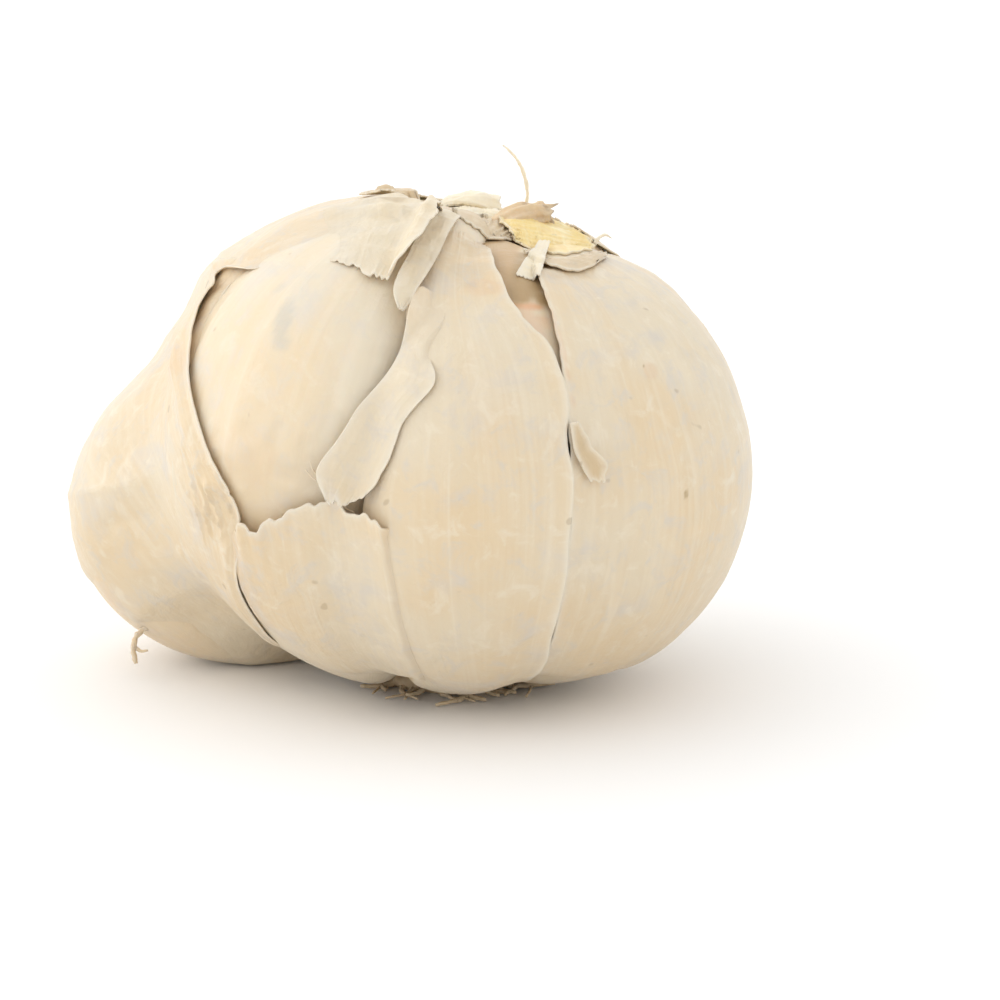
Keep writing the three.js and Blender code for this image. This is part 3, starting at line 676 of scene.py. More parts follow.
# %% [markdown]
# A skin's table is read as a smooth surface. Its edges are then torn: the table is cut a little
# short by an amount that wanders, coarsely at first and finely on top, as paper fibres part.

# %% Reading a table, and tearing edges
def ragged(seed, count, s):
    """Random steps joined by straight lines, from 0 to 1, the same as on the solid model."""
    k = seed + np.arange(count + 1)
    wave = np.sin(k * 12.9898) * 43758.5453
    return np.interp(s, np.linspace(0, 1, count + 1), wave - np.floor(wave))


def fine_tear(along, seed):
    """Small teeth along an edge, some of them long, from 0 to 1. along is in mm."""
    line = along[..., None]
    teeth = field(line, 2.2, seed) + 0.6 * field(line, 0.9, seed + 1)
    return np.clip(0.5 + 0.4 * teeth, 0, 1) ** 1.5


def pulled_tight(floor, pulls, reach=None):
    """Spans hollows like a stretched sheet. Edges span them only along the edge."""
    reach = floor.copy() if reach is None else reach
    for _ in range(pulls):
        mean = reach.copy()
        mean[1:-1, 1:-1] = (
            reach[:-2, 1:-1] + reach[2:, 1:-1] + reach[1:-1, :-2] + reach[1:-1, 2:]
        ) / 4
        for side in (0, -1):
            mean[side, 1:-1] = (reach[side, :-2] + reach[side, 2:]) / 2
            mean[1:-1, side] = (reach[:-2, side] + reach[2:, side]) / 2
        reach = np.maximum(floor, mean)
    return reach


def distances(grid):
    """For each point of a grid, the millimetres to its top, bottom, left and right edges."""
    down = np.linalg.norm(np.diff(grid, axis=0), axis=2)
    right = np.linalg.norm(np.diff(grid, axis=1), axis=2)
    top = np.concatenate([np.zeros((1, grid.shape[1])), np.cumsum(down, axis=0)])
    left = np.concatenate([np.zeros((grid.shape[0], 1)), np.cumsum(right, axis=1)], axis=1)
    return top, top[-1:] - top, left, left[:, -1:] - left


def in_mm(s, t, to_edges):
    """A sheet's own places, from shares of it to millimetres, for patterns along its fibres."""
    return np.stack([t * to_edges[3][:, :1].max(), s * to_edges[1][:1].max()], axis=-1)


def wrinkles(place, size, seed):
    """Sharp folds and soft bumps half their size."""
    return 0.6 * creases(place, size, seed) + 0.4 * field(place, size / 2, seed + 1)


print("teeth along 10 mm of a torn edge:", fine_tear(np.linspace(0, 10, 6), seed=1).round(2))

# %% [markdown]
# The whole recipe for a skin: read the table, tear it, rest it on the ground map, pull it tight,
# add veins, wrinkles and curled edges, and give it its thickness.

# %% Making a skin
THICK = 0.15                             # mm
TYPICAL_REACH = 28                       # mm from the heart, before a skin knows its own
SKIN_VEIN, SKIN_VEIN_SIZE = 0.03, 1.8    # height and spacing, mm
TUCK = 0.4                               # how far an edge that thins out dips below the ground, mm
EASING = 120                             # pulls that round off a ridge
FLOOR_GAP = 0.1                          # mm between the lowest skin and the floor
NO_EDGE = (0, 0, 0, 0)


def make_skin(
    name, plan, solid, size, seed, tight, wrinkle, wrinkle_size, torn=NO_EDGE, tear=NO_EDGE,
    gap=0.1, curl=NO_EDGE, curl_width=2.5, feather=NO_EDGE, shape=None, melt=None, bite=None,
    eased=None,
):
    """One sheet. plan is its table, rows from the top, each (longitude, latitude, lift).

    torn, tear, curl and feather are for the top, bottom, left and right edges: coarse tears in
    shares of the skin, fine tears in mm, how far the edge curls away in mm, and over how many mm
    it thins out to nothing on what lies below. solid is the solid model's rows and columns, for
    the same coarse tears, and size is the rows and columns here. tight is the number of pulls
    that stretch it. shape adds lift by place, melt thins the sheet by place, and bite is a notch
    in the left edge: where it is, how wide and how deep, in shares of the skin. eased says where
    a ridge is rounded off.
    """
    spread = np.array([
        [[*compass(p[0], p[1]), p[2] if len(p) > 2 else 0] for p in row] for row in plan
    ], float)
    m, n = size
    i, j = np.meshgrid(np.linspace(0, 1, m), np.linspace(0, 1, n), indexing="ij")

    def spot(s, t):
        across = np.stack([[through(row[:, k], t) for k in range(4)] for row in spread])
        value = np.stack([through(across[:, k], s) for k in range(4)], axis=-1)
        away = value[..., :3]
        return away / np.linalg.norm(away, axis=-1, keepdims=True), np.maximum(value[..., 3], 0)

    span = distances(spot(i, j)[0] * TYPICAL_REACH)
    tall, wide = span[1][0].mean(), span[3][:, 0].mean()
    edges = []
    for k, (along, inwards, count, shift, reach) in enumerate([
        (j, i, solid[1], 0, tall), (j, 1 - i, solid[1], 31, tall),
        (i, j, solid[0], 57, wide), (i, 1 - j, solid[0], 83, wide),
    ]):
        coarse = torn[k] * ragged(seed + shift, count, along) * (1 - inwards)
        teeth = tear[k] / reach * fine_tear(along * span[k // 2 * 2 + 1].max(), 100 * seed + k)
        edges.append(coarse + teeth * np.exp(-inwards * reach / (4 * tear[k] + 0.01)))
    if bite:
        at, width, deep = bite
        edges[2] = edges[2] + deep * np.exp(-(((i - at) / width) ** 4)) * (1 - j)
    s, t = i + edges[0] - edges[1], j + edges[2] - edges[3]
    direction, lift = spot(s, t)
    floor = ground_reach(direction)
    reach = pulled_tight(floor, tight)
    place = HEART + direction * reach[..., None]
    to_edges = distances(place)
    thin = melt(s, t) if melt else np.ones((m, n))
    for width, away in zip(feather, to_edges):
        if width:
            thin = np.minimum(thin, smooth_step(away, 0, width))
    for amount, away in zip(curl, to_edges):
        wander = 0.75 + 0.5 * field(place, 5, seed + 7)
        lift = lift + amount * wander * np.clip(1 - away / curl_width, 0, 1) ** 2
    if shape:
        lift = lift + shape(s, t)
    veins = creases(in_mm(s, t, to_edges), SKIN_VEIN_SIZE, seed + 8, stretch=(1, 16))
    folds = wrinkles(place, wrinkle_size, seed + 9)
    lift = lift + SKIN_VEIN * veins + wrinkle * folds
    reach = np.maximum(reach + lift * thin, floor) + gap * thin - TUCK * (1 - thin) ** 2
    if eased:
        rounder = pulled_tight(np.zeros_like(reach), EASING, reach)
        reach = reach + eased(s, t) * (rounder - reach)
    to_table = (HEART[2] - FLOOR_GAP) / np.maximum(-direction[..., 2], 1e-6)
    reach = np.minimum(reach, to_table)
    grid = HEART + direction * reach[..., None]
    edge = np.exp(-np.minimum.reduce(to_edges) / 0.5) * thin
    marks = {"edge": edge, "vein": veins}
    marks.update(painted(grid, SPOTS.get(name, ())))
    lay_down(grid + direction * THICK)
    return thin_sheet(grid, THICK * (0.15 + 0.85 * thin), HEART, marks)


def add_piece(name, *parts):
    """Builds a piece from its sheets and strands and keeps it under the solid's name."""
    shown[name] = build_piece("paper_" + name, *parts)
    print(name, len(shown[name].data.vertices), "points")


# %% [markdown]
# A few pieces curl back under themselves, so they can't be drawn as lifts over the bulb. Each is
# a small net of points in millimetres instead, from its far edge over its crest to the edge that
# is turned under. The corners are rounded, since a torn leaf has none.

# %% Folded sheets from nets of points
WRINKLE_SIZE = 2.2                       # mm
TEAR_LENGTH = 12                         # mm of torn edge, for a fold of any size


def make_fold(
    name, net, size, seed, tear, pleats, thick=0.2, wrinkle=0.2, pleat_size=1.2, along=False,
    above=0.12, rounded=0.35,
):
    """net: rows of points, from the far edge to the near one. Pleats run down, or along it.

    tear is a share of the sheet, pleats and wrinkle are heights in mm, above is the least height
    over the ground, and rounded says how much the corners are pulled in.
    """
    net = np.array(net, float)
    y, x = np.meshgrid(np.linspace(-1, 1, size[0]), np.linspace(-1, 1, size[1]), indexing="ij")
    i, j = (1 + y * np.sqrt(1 - rounded * x**2)) / 2, (1 + x * np.sqrt(1 - rounded * y**2)) / 2
    ends = [tear * fine_tear(at * TEAR_LENGTH, seed + k) for k, at in enumerate((j, j, i, i))]
    s = i + ends[0] * (1 - i) ** 3 - ends[1] * i**3
    t = j + ends[2] * (1 - j) ** 3 - ends[3] * j**3
    across = [[through(row[:, k], t) for k in range(3)] for row in net]
    place = np.stack([
        through(np.stack([row[k] for row in across]), s) for k in range(3)
    ], axis=-1)
    normal = normals_of(place, None)
    to_edges = distances(place)
    stretch = (9, 1) if along else (1, 9)
    ridges = creases(in_mm(s, t, to_edges), pleat_size, seed + 2, stretch)
    folds = wrinkles(place, WRINKLE_SIZE, seed + 3)
    place = place + normal * (wrinkle * folds + pleats * ridges)[..., None]
    away = place - HEART
    reach = np.linalg.norm(away, axis=-1)
    direction = away / reach[..., None]
    reach = np.maximum(reach, ground_reach(direction) + above)
    place = HEART + direction * reach[..., None]
    edge = np.exp(-np.minimum.reduce(to_edges) / 0.4)
    marks = {"edge": edge, "vein": ridges}
    marks.update(painted(place, SPOTS.get(name, ())))
    lay_down(place + direction * thick)
    return thin_sheet(place, thick, None, marks)


# %% [markdown]
# ## The large wrappers
#
# These are the leaves that held the whole bulb. The left one runs from the splayed clove over the
# shoulder behind it, and ends in a free lip beside the front-left clove. Where it is torn, an
# inner skin shows beneath it, with a small scrap at the edge. Inner sheets are made first, so
# that the ground map carries the outer ones.

# %% Large wrappers
add_piece("wrapper_left", make_skin(
    "inner_skin", [
        [(-56, 60, 0.3), (-78, 58, 0.5), (-100, 54)],
        [(-61, 47, 0.3), (-78, 46, 0.5), (-96, 43)],
        [(-63, 34, 0.2), (-76, 33.5, 0.4), (-90, 31)],
        [(-58, 22, 0.1), (-66, 21.5, 0.1), (-76, 19)],
    ], solid=(5, 5), size=(60, 60), seed=73, tight=400, feather=(0, 0, 3, 0), wrinkle=0.2,
    wrinkle_size=4,
), make_skin(
    "wrapper_left", [
        [(-60, 80), (-112, 75, 0.2), (-138, 74, 0.4), (-165, 70), (175, 66)],
        [(-38, 60), (-100, 60), (-124, 58), (-150, 54, 0.2), (-170, 48)],
        [(-44, 47), (-94, 46, 0.2), (-116, 43, 0.1), (-140, 38, 0.1), (-162, 28)],
        [(-67, 36.5, 0.1), (-88, 35.5, 0.5), (-110, 31, 1.1), (-128, 24, 0.6), (-145, 16)],
        [(-61, 26, 0.1), (-76, 24, 0.2), (-92, 19.5, 0.4), (-112, 12, 0.4), (-130, 2)],
        [(-50.5, 14, 0.1), (-60, 12), (-75, 7, 0.1), (-95, 0), (-120, -10)],
        [(-40, 1, 0.2), (-50, -2), (-62, -7), (-82, -13), (-114, -24)],
        [(-46, -13), (-54, -17), (-66, -23), (-84, -29), (-112, -38)],
        [(-54, -36), (-61, -41), (-71, -46), (-84, -49), (-106, -52)],
    ], solid=(24, 12), size=(220, 145), torn=(0.03, 0, 0, 0.08), tear=(0.4, 0.3, 0.12, 0.5),
    seed=2, tight=310, curl=(0, 0, 0.25, 0), curl_width=1.2, feather=(0, 6, 0, 6), wrinkle=0.12,
    wrinkle_size=6, bite=(0.35, 0.02, 0.065), shape=lambda s, t: (
        0.3 * np.exp(-(((t - 0.12) / 0.05) ** 2)) * smooth_step(s, 0.42, 0.52)
        + 0.5 * np.exp(-(((t - 0.24) / 0.1) ** 2)) * (1 - smooth_step(s, 0.2, 0.3))
        + 0.75 * creases(np.stack([t * 30, s * 60], axis=-1), 1.9, 71)
        * np.exp(-(((t - 0.15) / 0.17) ** 2) - (((s - 0.73) / 0.055) ** 2))
    ),
    melt=lambda s, t: 1 - (1 - smooth_step(s, 0.29, 0.345)) * (1 - smooth_step(t, 0, 0.16)),
    eased=lambda s, t: smooth_step(s, 0.74, 0.79) * (1 - smooth_step(s, 0.9, 0.95))
    * smooth_step(t, 0.3, 0.42),
), make_fold("inner_skin", [
    [(-21.9, -3.4, 41.0), (-20.4, -6, 41.7), (-18.5, -8, 42)],
    [(-21.8, -5.2, 39.9), (-20.4, -7.8, 40.3), (-18.8, -9.2, 40.7)],
    [(-22.3, -7.6, 38.4), (-21.2, -9.4, 38.7), (-20, -10.6, 39.2)],
    [(-22.7, -10, 36.5), (-22, -11, 36.7), (-21.2, -12, 37.2)],
], (40, 24), 77, wrinkle=0.1, pleats=0.05, tear=0.02, above=-20, rounded=0.1))
add_piece("wrapper_right", make_skin(
    "wrapper_right", [
        [(24, 57, 0.3), (47, 60), (75, 61), (100, 61)],
        [(19.9, 48, 0.3), (45, 49), (75, 50), (102, 50)],
        [(19.2, 38, 0.2), (45, 38), (76, 38), (104, 38)],
        [(18, 24, 0.15), (45, 24), (76, 24), (108, 22)],
        [(17.2, 4, 0.1), (45, 4), (74, 4), (104, 2)],
        [(17.2, -16), (45, -17), (72, -17), (98, -18)],
        [(17.4, -36), (45, -37), (70, -38), (92, -37)],
        [(21, -50), (47, -51), (66, -51), (84, -50)],
    ], solid=(16, 13), size=(180, 150), torn=(0, 0.03, 0, 0.05), tear=(0.2, 0.4, 0.15, 0.5),
    seed=5, tight=560, curl=(0, 0, 0.25, 0.2), feather=(3, 3, 0, 0), wrinkle=0.12, wrinkle_size=7,
))
add_piece("wrapper_back", make_skin(
    "wrapper_back", [
        [(118, 58), (138, 60), (160, 60)],
        [(122, 40), (144, 40), (170, 40)],
        [(124, 18), (150, 18), (180, 18)],
        [(124, -6), (152, -6), (186, -6)],
        [(126, -28), (154, -28), (186, -28)],
        [(128, -48), (152, -50), (178, -48)],
    ], solid=(13, 9), size=(140, 95), torn=(0.06, 0.05, 0.1, 0.08), tear=(0.8, 0.6, 0.4, 0.4),
    seed=21, tight=500, curl=(0.2, 0.1, 0.4, 0.5), wrinkle=0.14, wrinkle_size=6,
))

# %% [markdown]
# ## Skins on the front
#
# The middle clove keeps its own skin, cut away at the top right. A pale torn cuff stands at the
# foot of the front-left clove, a greyer flap hangs over its top, and a long strip has come loose
# between the two, with fine hairs at its torn end. A small brown tissue stands in the crease
# beside the right clove.

# %% Skins on the front
add_piece("skin_front", make_skin(
    "skin_front", [
        [(-20, 70), (-4, 72), (10, 68)],
        [(-18, 60, 0.1), (-3, 60), (8.2, 60, 0.2)],
        [(-17, 52), (-3, 52), (8.6, 52.5, 0.3)],
        [(-16, 42), (-2, 42), (10.2, 42, 0.3)],
        [(-15, 34), (0, 34), (16.4, 34, 0.1)],
        [(-16, 22), (2, 22), (18.6, 22)],
        [(-20, 4), (3, 4), (18, 4)],
        [(-18, -18), (3, -18), (17.8, -18)],
        [(-16, -38), (4, -38), (17.6, -38)],
        [(-12, -52), (4, -52), (17, -52)],
    ], solid=(16, 6), size=(220, 80), torn=(0.02, 0.02, 0, 0.01), tear=(0.4, 0.4, 0.3, 0.45),
    seed=9, tight=260, curl=(0, 0, 0, 0.1), feather=(4, 3, 3, 0), wrinkle=0.1, wrinkle_size=5,
))
add_piece("cuff_front_left", make_skin(
    "cuff_front_left", [
        [(-42, 0, 0.3), (-33, 3.5, 0.4), (-24, 7, 0.2), (-14, 3, 0.2)],
        [(-46, -14), (-35, -12), (-24, -10), (-13, -12)],
        [(-50, -30), (-38, -30), (-25, -30), (-12.5, -30)],
        [(-50, -44), (-38, -46), (-25, -46), (-12, -44)],
    ], solid=(10, 8), size=(95, 85), torn=(0.07, 0.04, 0, 0), tear=(0.7, 0.4, 0.2, 0.2),
    seed=14, tight=190, curl=(0.4, 0, 0, 0), feather=(0, 3, 3, 1), wrinkle=0.12, wrinkle_size=4,
))
add_piece("cap_flap", make_skin(
    "cap_flap", [
        [(-26, 72, 0.1), (-17, 73, 0.3), (-8, 72, 0.2)],
        [(-20, 61, 0.1), (-14.5, 62, 0.5), (-8, 62, 0.3)],
        [(-18.5, 50, 0.2), (-14.5, 51, 0.6), (-10, 52, 0.4)],
        [(-18, 42.5, 0.4), (-15.5, 42, 0.6), (-13.3, 43, 0.4)],
        [(-15.8, 38.6, 0.3), (-15.2, 38.3, 0.4), (-14.6, 38.6, 0.3)],
    ], solid=(10, 4), size=(120, 46), torn=(0, 0.02, 0.03, 0.03), tear=(0, 0.2, 0.25, 0.25),
    seed=29, tight=60, curl=(0, 0.5, 0.5, 0.3), curl_width=1.6, wrinkle=0.15, wrinkle_size=3,
    gap=0.15,
), make_skin(
    "cap_flap", [
        [(-109, 62, 0.1), (-110, 70, 0.2), (-75, 78, 0.6), (-17, 71, 0.4)],
        [(-82, 58), (-64, 66, 0.3), (-40, 69, 0.3), (-14, 65, 0.6)],
        [(-58, 54), (-45, 58, 0.1), (-29, 59, 0.2), (-13.5, 59.5, 0.5)],
        [(-43, 47.5), (-35, 46), (-24, 44, 0.1), (-18.5, 43.2, 0.3)],
    ], solid=(10, 9), size=(125, 140), torn=(0, 0.02, 0, 0), tear=(0.3, 0.5, 0.2, 0.3),
    seed=27, tight=85, curl=(0, 0.3, 0, 0.5), curl_width=2, feather=(2.5, 0, 9, 0), wrinkle=0.3,
    wrinkle_size=4, gap=0.3, shape=lambda s, t: (
        0.9 * np.exp(-(((t - 0.62) / 0.17) ** 2) - (((s - 0.47) / 0.05) ** 2))
        - 0.6 * np.exp(-(((t - 0.62) / 0.13) ** 2) - (((s - 0.58) / 0.045) ** 2))
    ),
))
add_piece("strip_front", make_skin(
    "strip_front", [
        [(-14, 44.5, 0.2), (-9.5, 45, 0.1), (-5.5, 44)],
        [(-14, 38, 0.4), (-9, 38, 0.1), (-4.5, 38)],
        [(-14.8, 31.5, 0.5), (-11, 31.5, 0.1), (-7.5, 31.5)],
        [(-17, 26.5, 0.5), (-11, 26.5, 0.1), (-5.8, 26)],
        [(-20.8, 20.5, 0.5), (-15.5, 20.5, 0.1), (-10, 20.5)],
        [(-23.2, 14.5, 0.5), (-18, 14.5, 0.1), (-12.6, 14.5)],
        [(-26, 9, 0.5), (-21, 8, 0.3), (-15.2, 9, 0.1)],
        [(-23.8, 5, 0.6), (-22.2, 3.2, 0.5), (-18.6, 5, 0.5)],
    ], solid=(14, 5), size=(170, 70), torn=(0, 0.07, 0, 0.05), tear=(0, 0.35, 0.35, 0.4),
    seed=33, tight=190, curl=(0, 0.3, 0.3, 0.05), feather=(8, 0, 0, 0), wrinkle=0.1,
    wrinkle_size=5, gap=0.06,
    melt=lambda s, t: 1 - smooth_step(t, 0.55, 0.95) * (1 - smooth_step(s, 0.3, 0.4)),
), *(
    make_strand(points, [0.09, 0.08, 0.05], seed=101, sides=6, steps=16, rough=0.02) for points in (
        [(-9.9, -26.9, 25.3), (-11, -26.9, 25.9), (-11.4, -26.9, 26.9)],
        [(-9.9, -26.9, 25.1), (-10.9, -27, 25.2), (-11.8, -26.9, 26.1)],
        [(-9, -26.7, 24), (-8.6, -26.6, 22.8), (-7.6, -26.5, 22.2)],
    )
))
add_piece("tissue_flap", make_skin(
    "tissue_flap", [
        [(17.5, 18), (20, 18.5, 0.3)],
        [(18, 14), (22, 15, 0.6)],
        [(20, 10), (25, 11, 0.6)],
        [(21.6, 7.5), (24.2, 7.5, 0.3)],
    ], solid=(7, 3), size=(70, 30), torn=(0, 0.05, 0, 0.2), tear=(0, 0.4, 0.15, 0.3),
    seed=39, tight=60, curl=(0, 0.2, 0, 0.3), wrinkle=0.15, wrinkle_size=3,
))

# %% [markdown]
# ## The neck
#
# Where the leaves once left the bulb they have dried to rolled folds. The collar comes first,
# then the two rolls behind it, the yellow sheath, and the scraps on top. One dry fibre stands up
# from the upper roll.

# %% Neck pieces
add_piece("neck_fold_lower", make_fold("neck_fold_lower", [
    [(-0.9, 1.5, 44.7), (1.5, 1.5, 44.6), (3.6, 1.5, 44.4), (5.7, 1.5, 43.9), (7.3, 1, 43.4)],
    [(-0.8, -1.5, 44.5), (1.4, -2.2, 44.4), (3.5, -2.6, 44.2), (5.5, -3, 43.8), (7, -3, 43.3)],
    [(-0.6, -4, 43.8), (1.2, -5, 43.8), (2.9, -5.4, 43.7), (4.6, -5.6, 43.5), (6.1, -5.6, 43)],
    [(-0.2, -5.8, 43), (1.4, -6.9, 43), (2.7, -7.3, 43), (4.2, -7.3, 43), (5.8, -7.2, 42.4)],
], (72, 96), 53, pleats=0.3, pleat_size=0.8, tear=0.12), make_fold("neck_fold_lower", [
    [(6.8, -8, 42.2), (8.9, -9, 41.8), (10.7, -9, 41.6), (12.6, -7, 41.7), (14.6, -2.6, 41.9)],
    [
        (7, -9.5, 41.8), (8.9, -10.6, 41.6), (10.9, -10.6, 41.4), (12.8, -8.8, 41.5),
        (15, -4.5, 41.8),
    ],
    [
        (7.4, -10.4, 41.3), (9.1, -12.3, 40.9), (11.2, -12.3, 40.7), (13.3, -10.6, 40.9),
        (15.6, -5.5, 41.8),
    ],
], (40, 96), 57, pleats=0.2, along=True, tear=0.1))
add_piece("neck_fold_upper", make_fold("neck_fold_upper", [
    [(-0.3, 5, 44.4), (1.5, 5.5, 44.6), (3.6, 5.5, 44.5), (5.9, 5.5, 44), (7.1, 5, 43.7)],
    [(-0.5, 2.5, 44.9), (1.5, 3, 45.1), (3.6, 3.2, 45), (5.9, 3.5, 44.5), (7.2, 3.5, 44)],
    [(-0.2, 0.9, 44.6), (1.6, 1.1, 44.8), (3.6, 1.4, 44.7), (5.8, 1.9, 44.1), (7.1, 2.4, 43.6)],
    [(0.3, 0.8, 44.2), (1.7, 1, 44.3), (3.6, 1.3, 44.2), (5.5, 1.8, 43.7), (6.8, 2.4, 43.3)],
    [(0.5, 2, 44.1), (1.8, 2.4, 44.2), (3.6, 2.8, 44), (5.3, 3, 43.5), (6.6, 3.2, 43.2)],
], (64, 96), 61, pleats=0.2, along=True, tear=0.1), make_fold("neck_fold_upper", [
    [(-1.1, 8, 44.9), (1, 9, 45.2), (3.2, 9, 45.4), (5.7, 8.5, 44.8)],
    [(-1, 5.5, 45.4), (0.9, 6.5, 46.1), (3.2, 7, 46.3), (5.6, 7, 45.7)],
    [(-0.6, 4, 45.1), (0.9, 4.5, 45.7), (3.2, 5, 45.8), (5.5, 5.5, 45.1)],
    [(-0.2, 3.9, 44.8), (1, 4.1, 45.1), (3, 4.5, 45.2), (5.2, 5.1, 44.4)],
    [(-0.1, 5, 44.7), (1.1, 5.2, 44.9), (3, 5.6, 45), (5, 6, 44.3)],
], (64, 88), 65, pleats=0.15, along=True, tear=0.1), make_strand(
    [
        (7.6, 5.4, 44.6), (7.8, 5.2, 46.6), (7.5, 5, 48.2), (6.8, 5, 49.7), (5.9, 5, 50.7),
        (5.4, 5, 51.1),
    ],
    [0.2, 0.17, 0.18, 0.14, 0.1, 0.05], seed=67, rough=0.25,
), make_strand(
    [(14.2, 2.4, 41.9), (14.8, 2.8, 42.5), (15.3, 3, 42.7), (15.9, 3.5, 42.3)],
    [0.2, 0.16, 0.12, 0.05], seed=68, steps=16, rough=0.3,
))
add_piece("straw_sheath", make_fold("straw_sheath", [
    [
        (4.6, 2, 44.4), (6.3, 3, 44.4), (8, 4, 44.2), (10.2, 5, 43.7), (12.3, 5, 42.9),
        (14.1, 4.5, 42.2),
    ],
    [
        (4.8, -0.5, 44.3), (6.4, 0, 44.5), (8.2, 1, 44.4), (10.2, 2, 43.9), (12.4, 2.5, 42.9),
        (14.2, 3, 42),
    ],
    [
        (5.4, -3, 44), (6.7, -3.4, 44), (8.3, -3.6, 43.7), (10.3, -3, 43.1), (12.4, -1.6, 42.5),
        (14.4, 0.6, 41.8),
    ],
    [
        (6.2, -6.4, 42.9), (7.3, -7.6, 42.5), (9, -8.6, 42), (11, -8.2, 41.7), (13, -6, 41.7),
        (14.8, -2, 41.8),
    ],
], (88, 125), 45, wrinkle=0.08, pleats=0.22, pleat_size=0.8, along=True, tear=0.07))
add_piece("brown_curl", make_fold("brown_curl", [
    [(-8.4, 8, 44.8), (-7.4, 8, 45.5), (-6, 8, 45.9), (-4.4, 8, 45.4), (-2.4, 8, 44.8)],
    [(-8.2, 5.4, 45), (-7, 5.6, 46.3), (-5.8, 5.8, 46.9), (-4.2, 5.4, 46.1), (-2.2, 5, 45.2)],
    [(-7.4, 3, 45.4), (-6.4, 3, 46.2), (-5.4, 3, 46.4), (-4, 3, 46), (-2.4, 3, 45.4)],
    [(-6.6, 0.8, 45.6), (-5.8, 0.8, 45.7), (-4.8, 0.8, 45.8), (-3.8, 0.8, 45.8), (-2.8, 1, 45.7)],
], (48, 56), 55, wrinkle=0.3, pleats=0.2, tear=0.1, above=0.2, rounded=0.45))
add_piece("white_scrap", make_fold("white_scrap", [
    [(8.7, -6.6, 43.5), (9.9, -6.4, 43.4)], [(8.1, -9, 42.7), (9.4, -9, 42.5)],
    [(7.2, -12, 41.7), (8.9, -12, 41.4)], [(6.2, -15.2, 40.4), (8.3, -15.4, 40)],
], (70, 32), 57, thick=0.12, wrinkle=0.05, pleats=0.03, tear=0.03, above=0, rounded=0.05))

# %% [markdown]
# ## Stalk, root plate and roots
#
# The stalk's dry end is crumbly, so it gets rough bumps and a hollowed, broken top. The root plate
# is a corky disc, and its dried roots are cut short. None grow under the splayed clove.

# %% Stalk and root plate
STALK_SIZE, PLATE_SIZE = (14, 46), (54, 14)  # girth and length in mm, for the grain map


def dry_stalk():
    """The stalk, from inside the root plate to its frayed end."""
    turn = np.linspace(0, 2 * math.pi, 72, endpoint=False)
    s = np.linspace(0, 1, 70)
    path = np.array([
        (1.2, 0, 1), (2.6, 0, 20), (4, 0.1, 38), (5.2, 0.6, 42.6), (6.6, 1.2, 44.2),
        (8.2, 1.6, 44.7), (9.7, 1.8, 44.8),
    ])
    place = np.stack([through(path[:, k], s) for k in range(3)], axis=-1)
    radius = through(np.array([2.4, 2.3, 2.2, 1.9, 1.5, 1.25, 1.05]), s)
    ahead = np.gradient(place, axis=0)
    ahead /= np.linalg.norm(ahead, axis=1, keepdims=True)
    side = np.cross(ahead, [0, 1, 0])
    side /= np.linalg.norm(side, axis=1, keepdims=True)
    up = np.cross(ahead, side)
    out = side[:, None] * np.cos(turn)[:, None] + up[:, None] * np.sin(turn)[:, None]
    rough = 0.10 * np.cos(9 * turn)
    rings = place[:, None] + out * radius[:, None, None]
    crumbs = 0.22 * field(rings, 0.7, 81) + 0.12 * creases(rings, 0.5, 82)
    end = smooth_step(s, 0.7, 0.95)[:, None]
    rings = rings + out * (rough + crumbs * (0.3 + end))[..., None]
    frayed = smooth_step(s, 0.95, 1)[:, None] * 0.6 * field(out * 3, 0.9, 83)
    rings = rings + ahead[:, None] * frayed[..., None]
    ends = place[[0, -1]] - ahead[[0, -1]] * [[0], [0.8]]
    return closed_rings(rings, ends, STALK_SIZE)


def plate_rim(turn):
    """How far the root plate reaches in each direction."""
    return PLATE_RADIUS + 0.7 * np.cos(turn) + 0.35 * np.sin(3 * turn) + 0.25 * np.sin(8 * turn)


def root_plate():
    """A corky disc. Its profile is a table of heights and shares of the rim's reach."""
    turn = np.linspace(0, 2 * math.pi, 240, endpoint=False)
    profile = np.array([
        (0, 0.3), (0, 0.6), (0, 0.9), (0.25, 0.96), (0.7, 0.99), (1.3, 1), (1.75, 0.95),
        (2, 0.88), (2, 0.5), (2, 0.2),
    ])
    s = np.linspace(0, 1, 60)
    height = np.clip(through(profile[:, 0], s), 0, PLATE_HEIGHT)
    share = np.clip(through(profile[:, 1], s), 0.1, 1)
    reach = plate_rim(turn) * share[:, None]
    rings = np.stack(
        [reach * np.cos(turn), reach * np.sin(turn), height[:, None] + 0 * reach], axis=-1
    )
    crumbs = 0.18 * field(rings, 0.8, 85) + 0.18 * creases(rings, 1.1, 86)
    out = np.stack([np.cos(turn), np.sin(turn), 0 * turn], axis=-1)
    rings = rings - out * (0.3 * crumbs + 0.1)[..., None]
    rings[..., 2] = np.maximum(rings[..., 2] - 0.3 * np.clip(crumbs, 0, 1), 0)
    return closed_rings(rings, np.array([(0, 0, 0), (0, 0, PLATE_HEIGHT)]), PLATE_SIZE)


SPLAYED_AT, SPLAYED_WIDTH = 162, 48      # degrees: no root grows this near the splayed clove
ROOT_INSET = 1.8                         # mm from the rim, where a root starts inside the plate


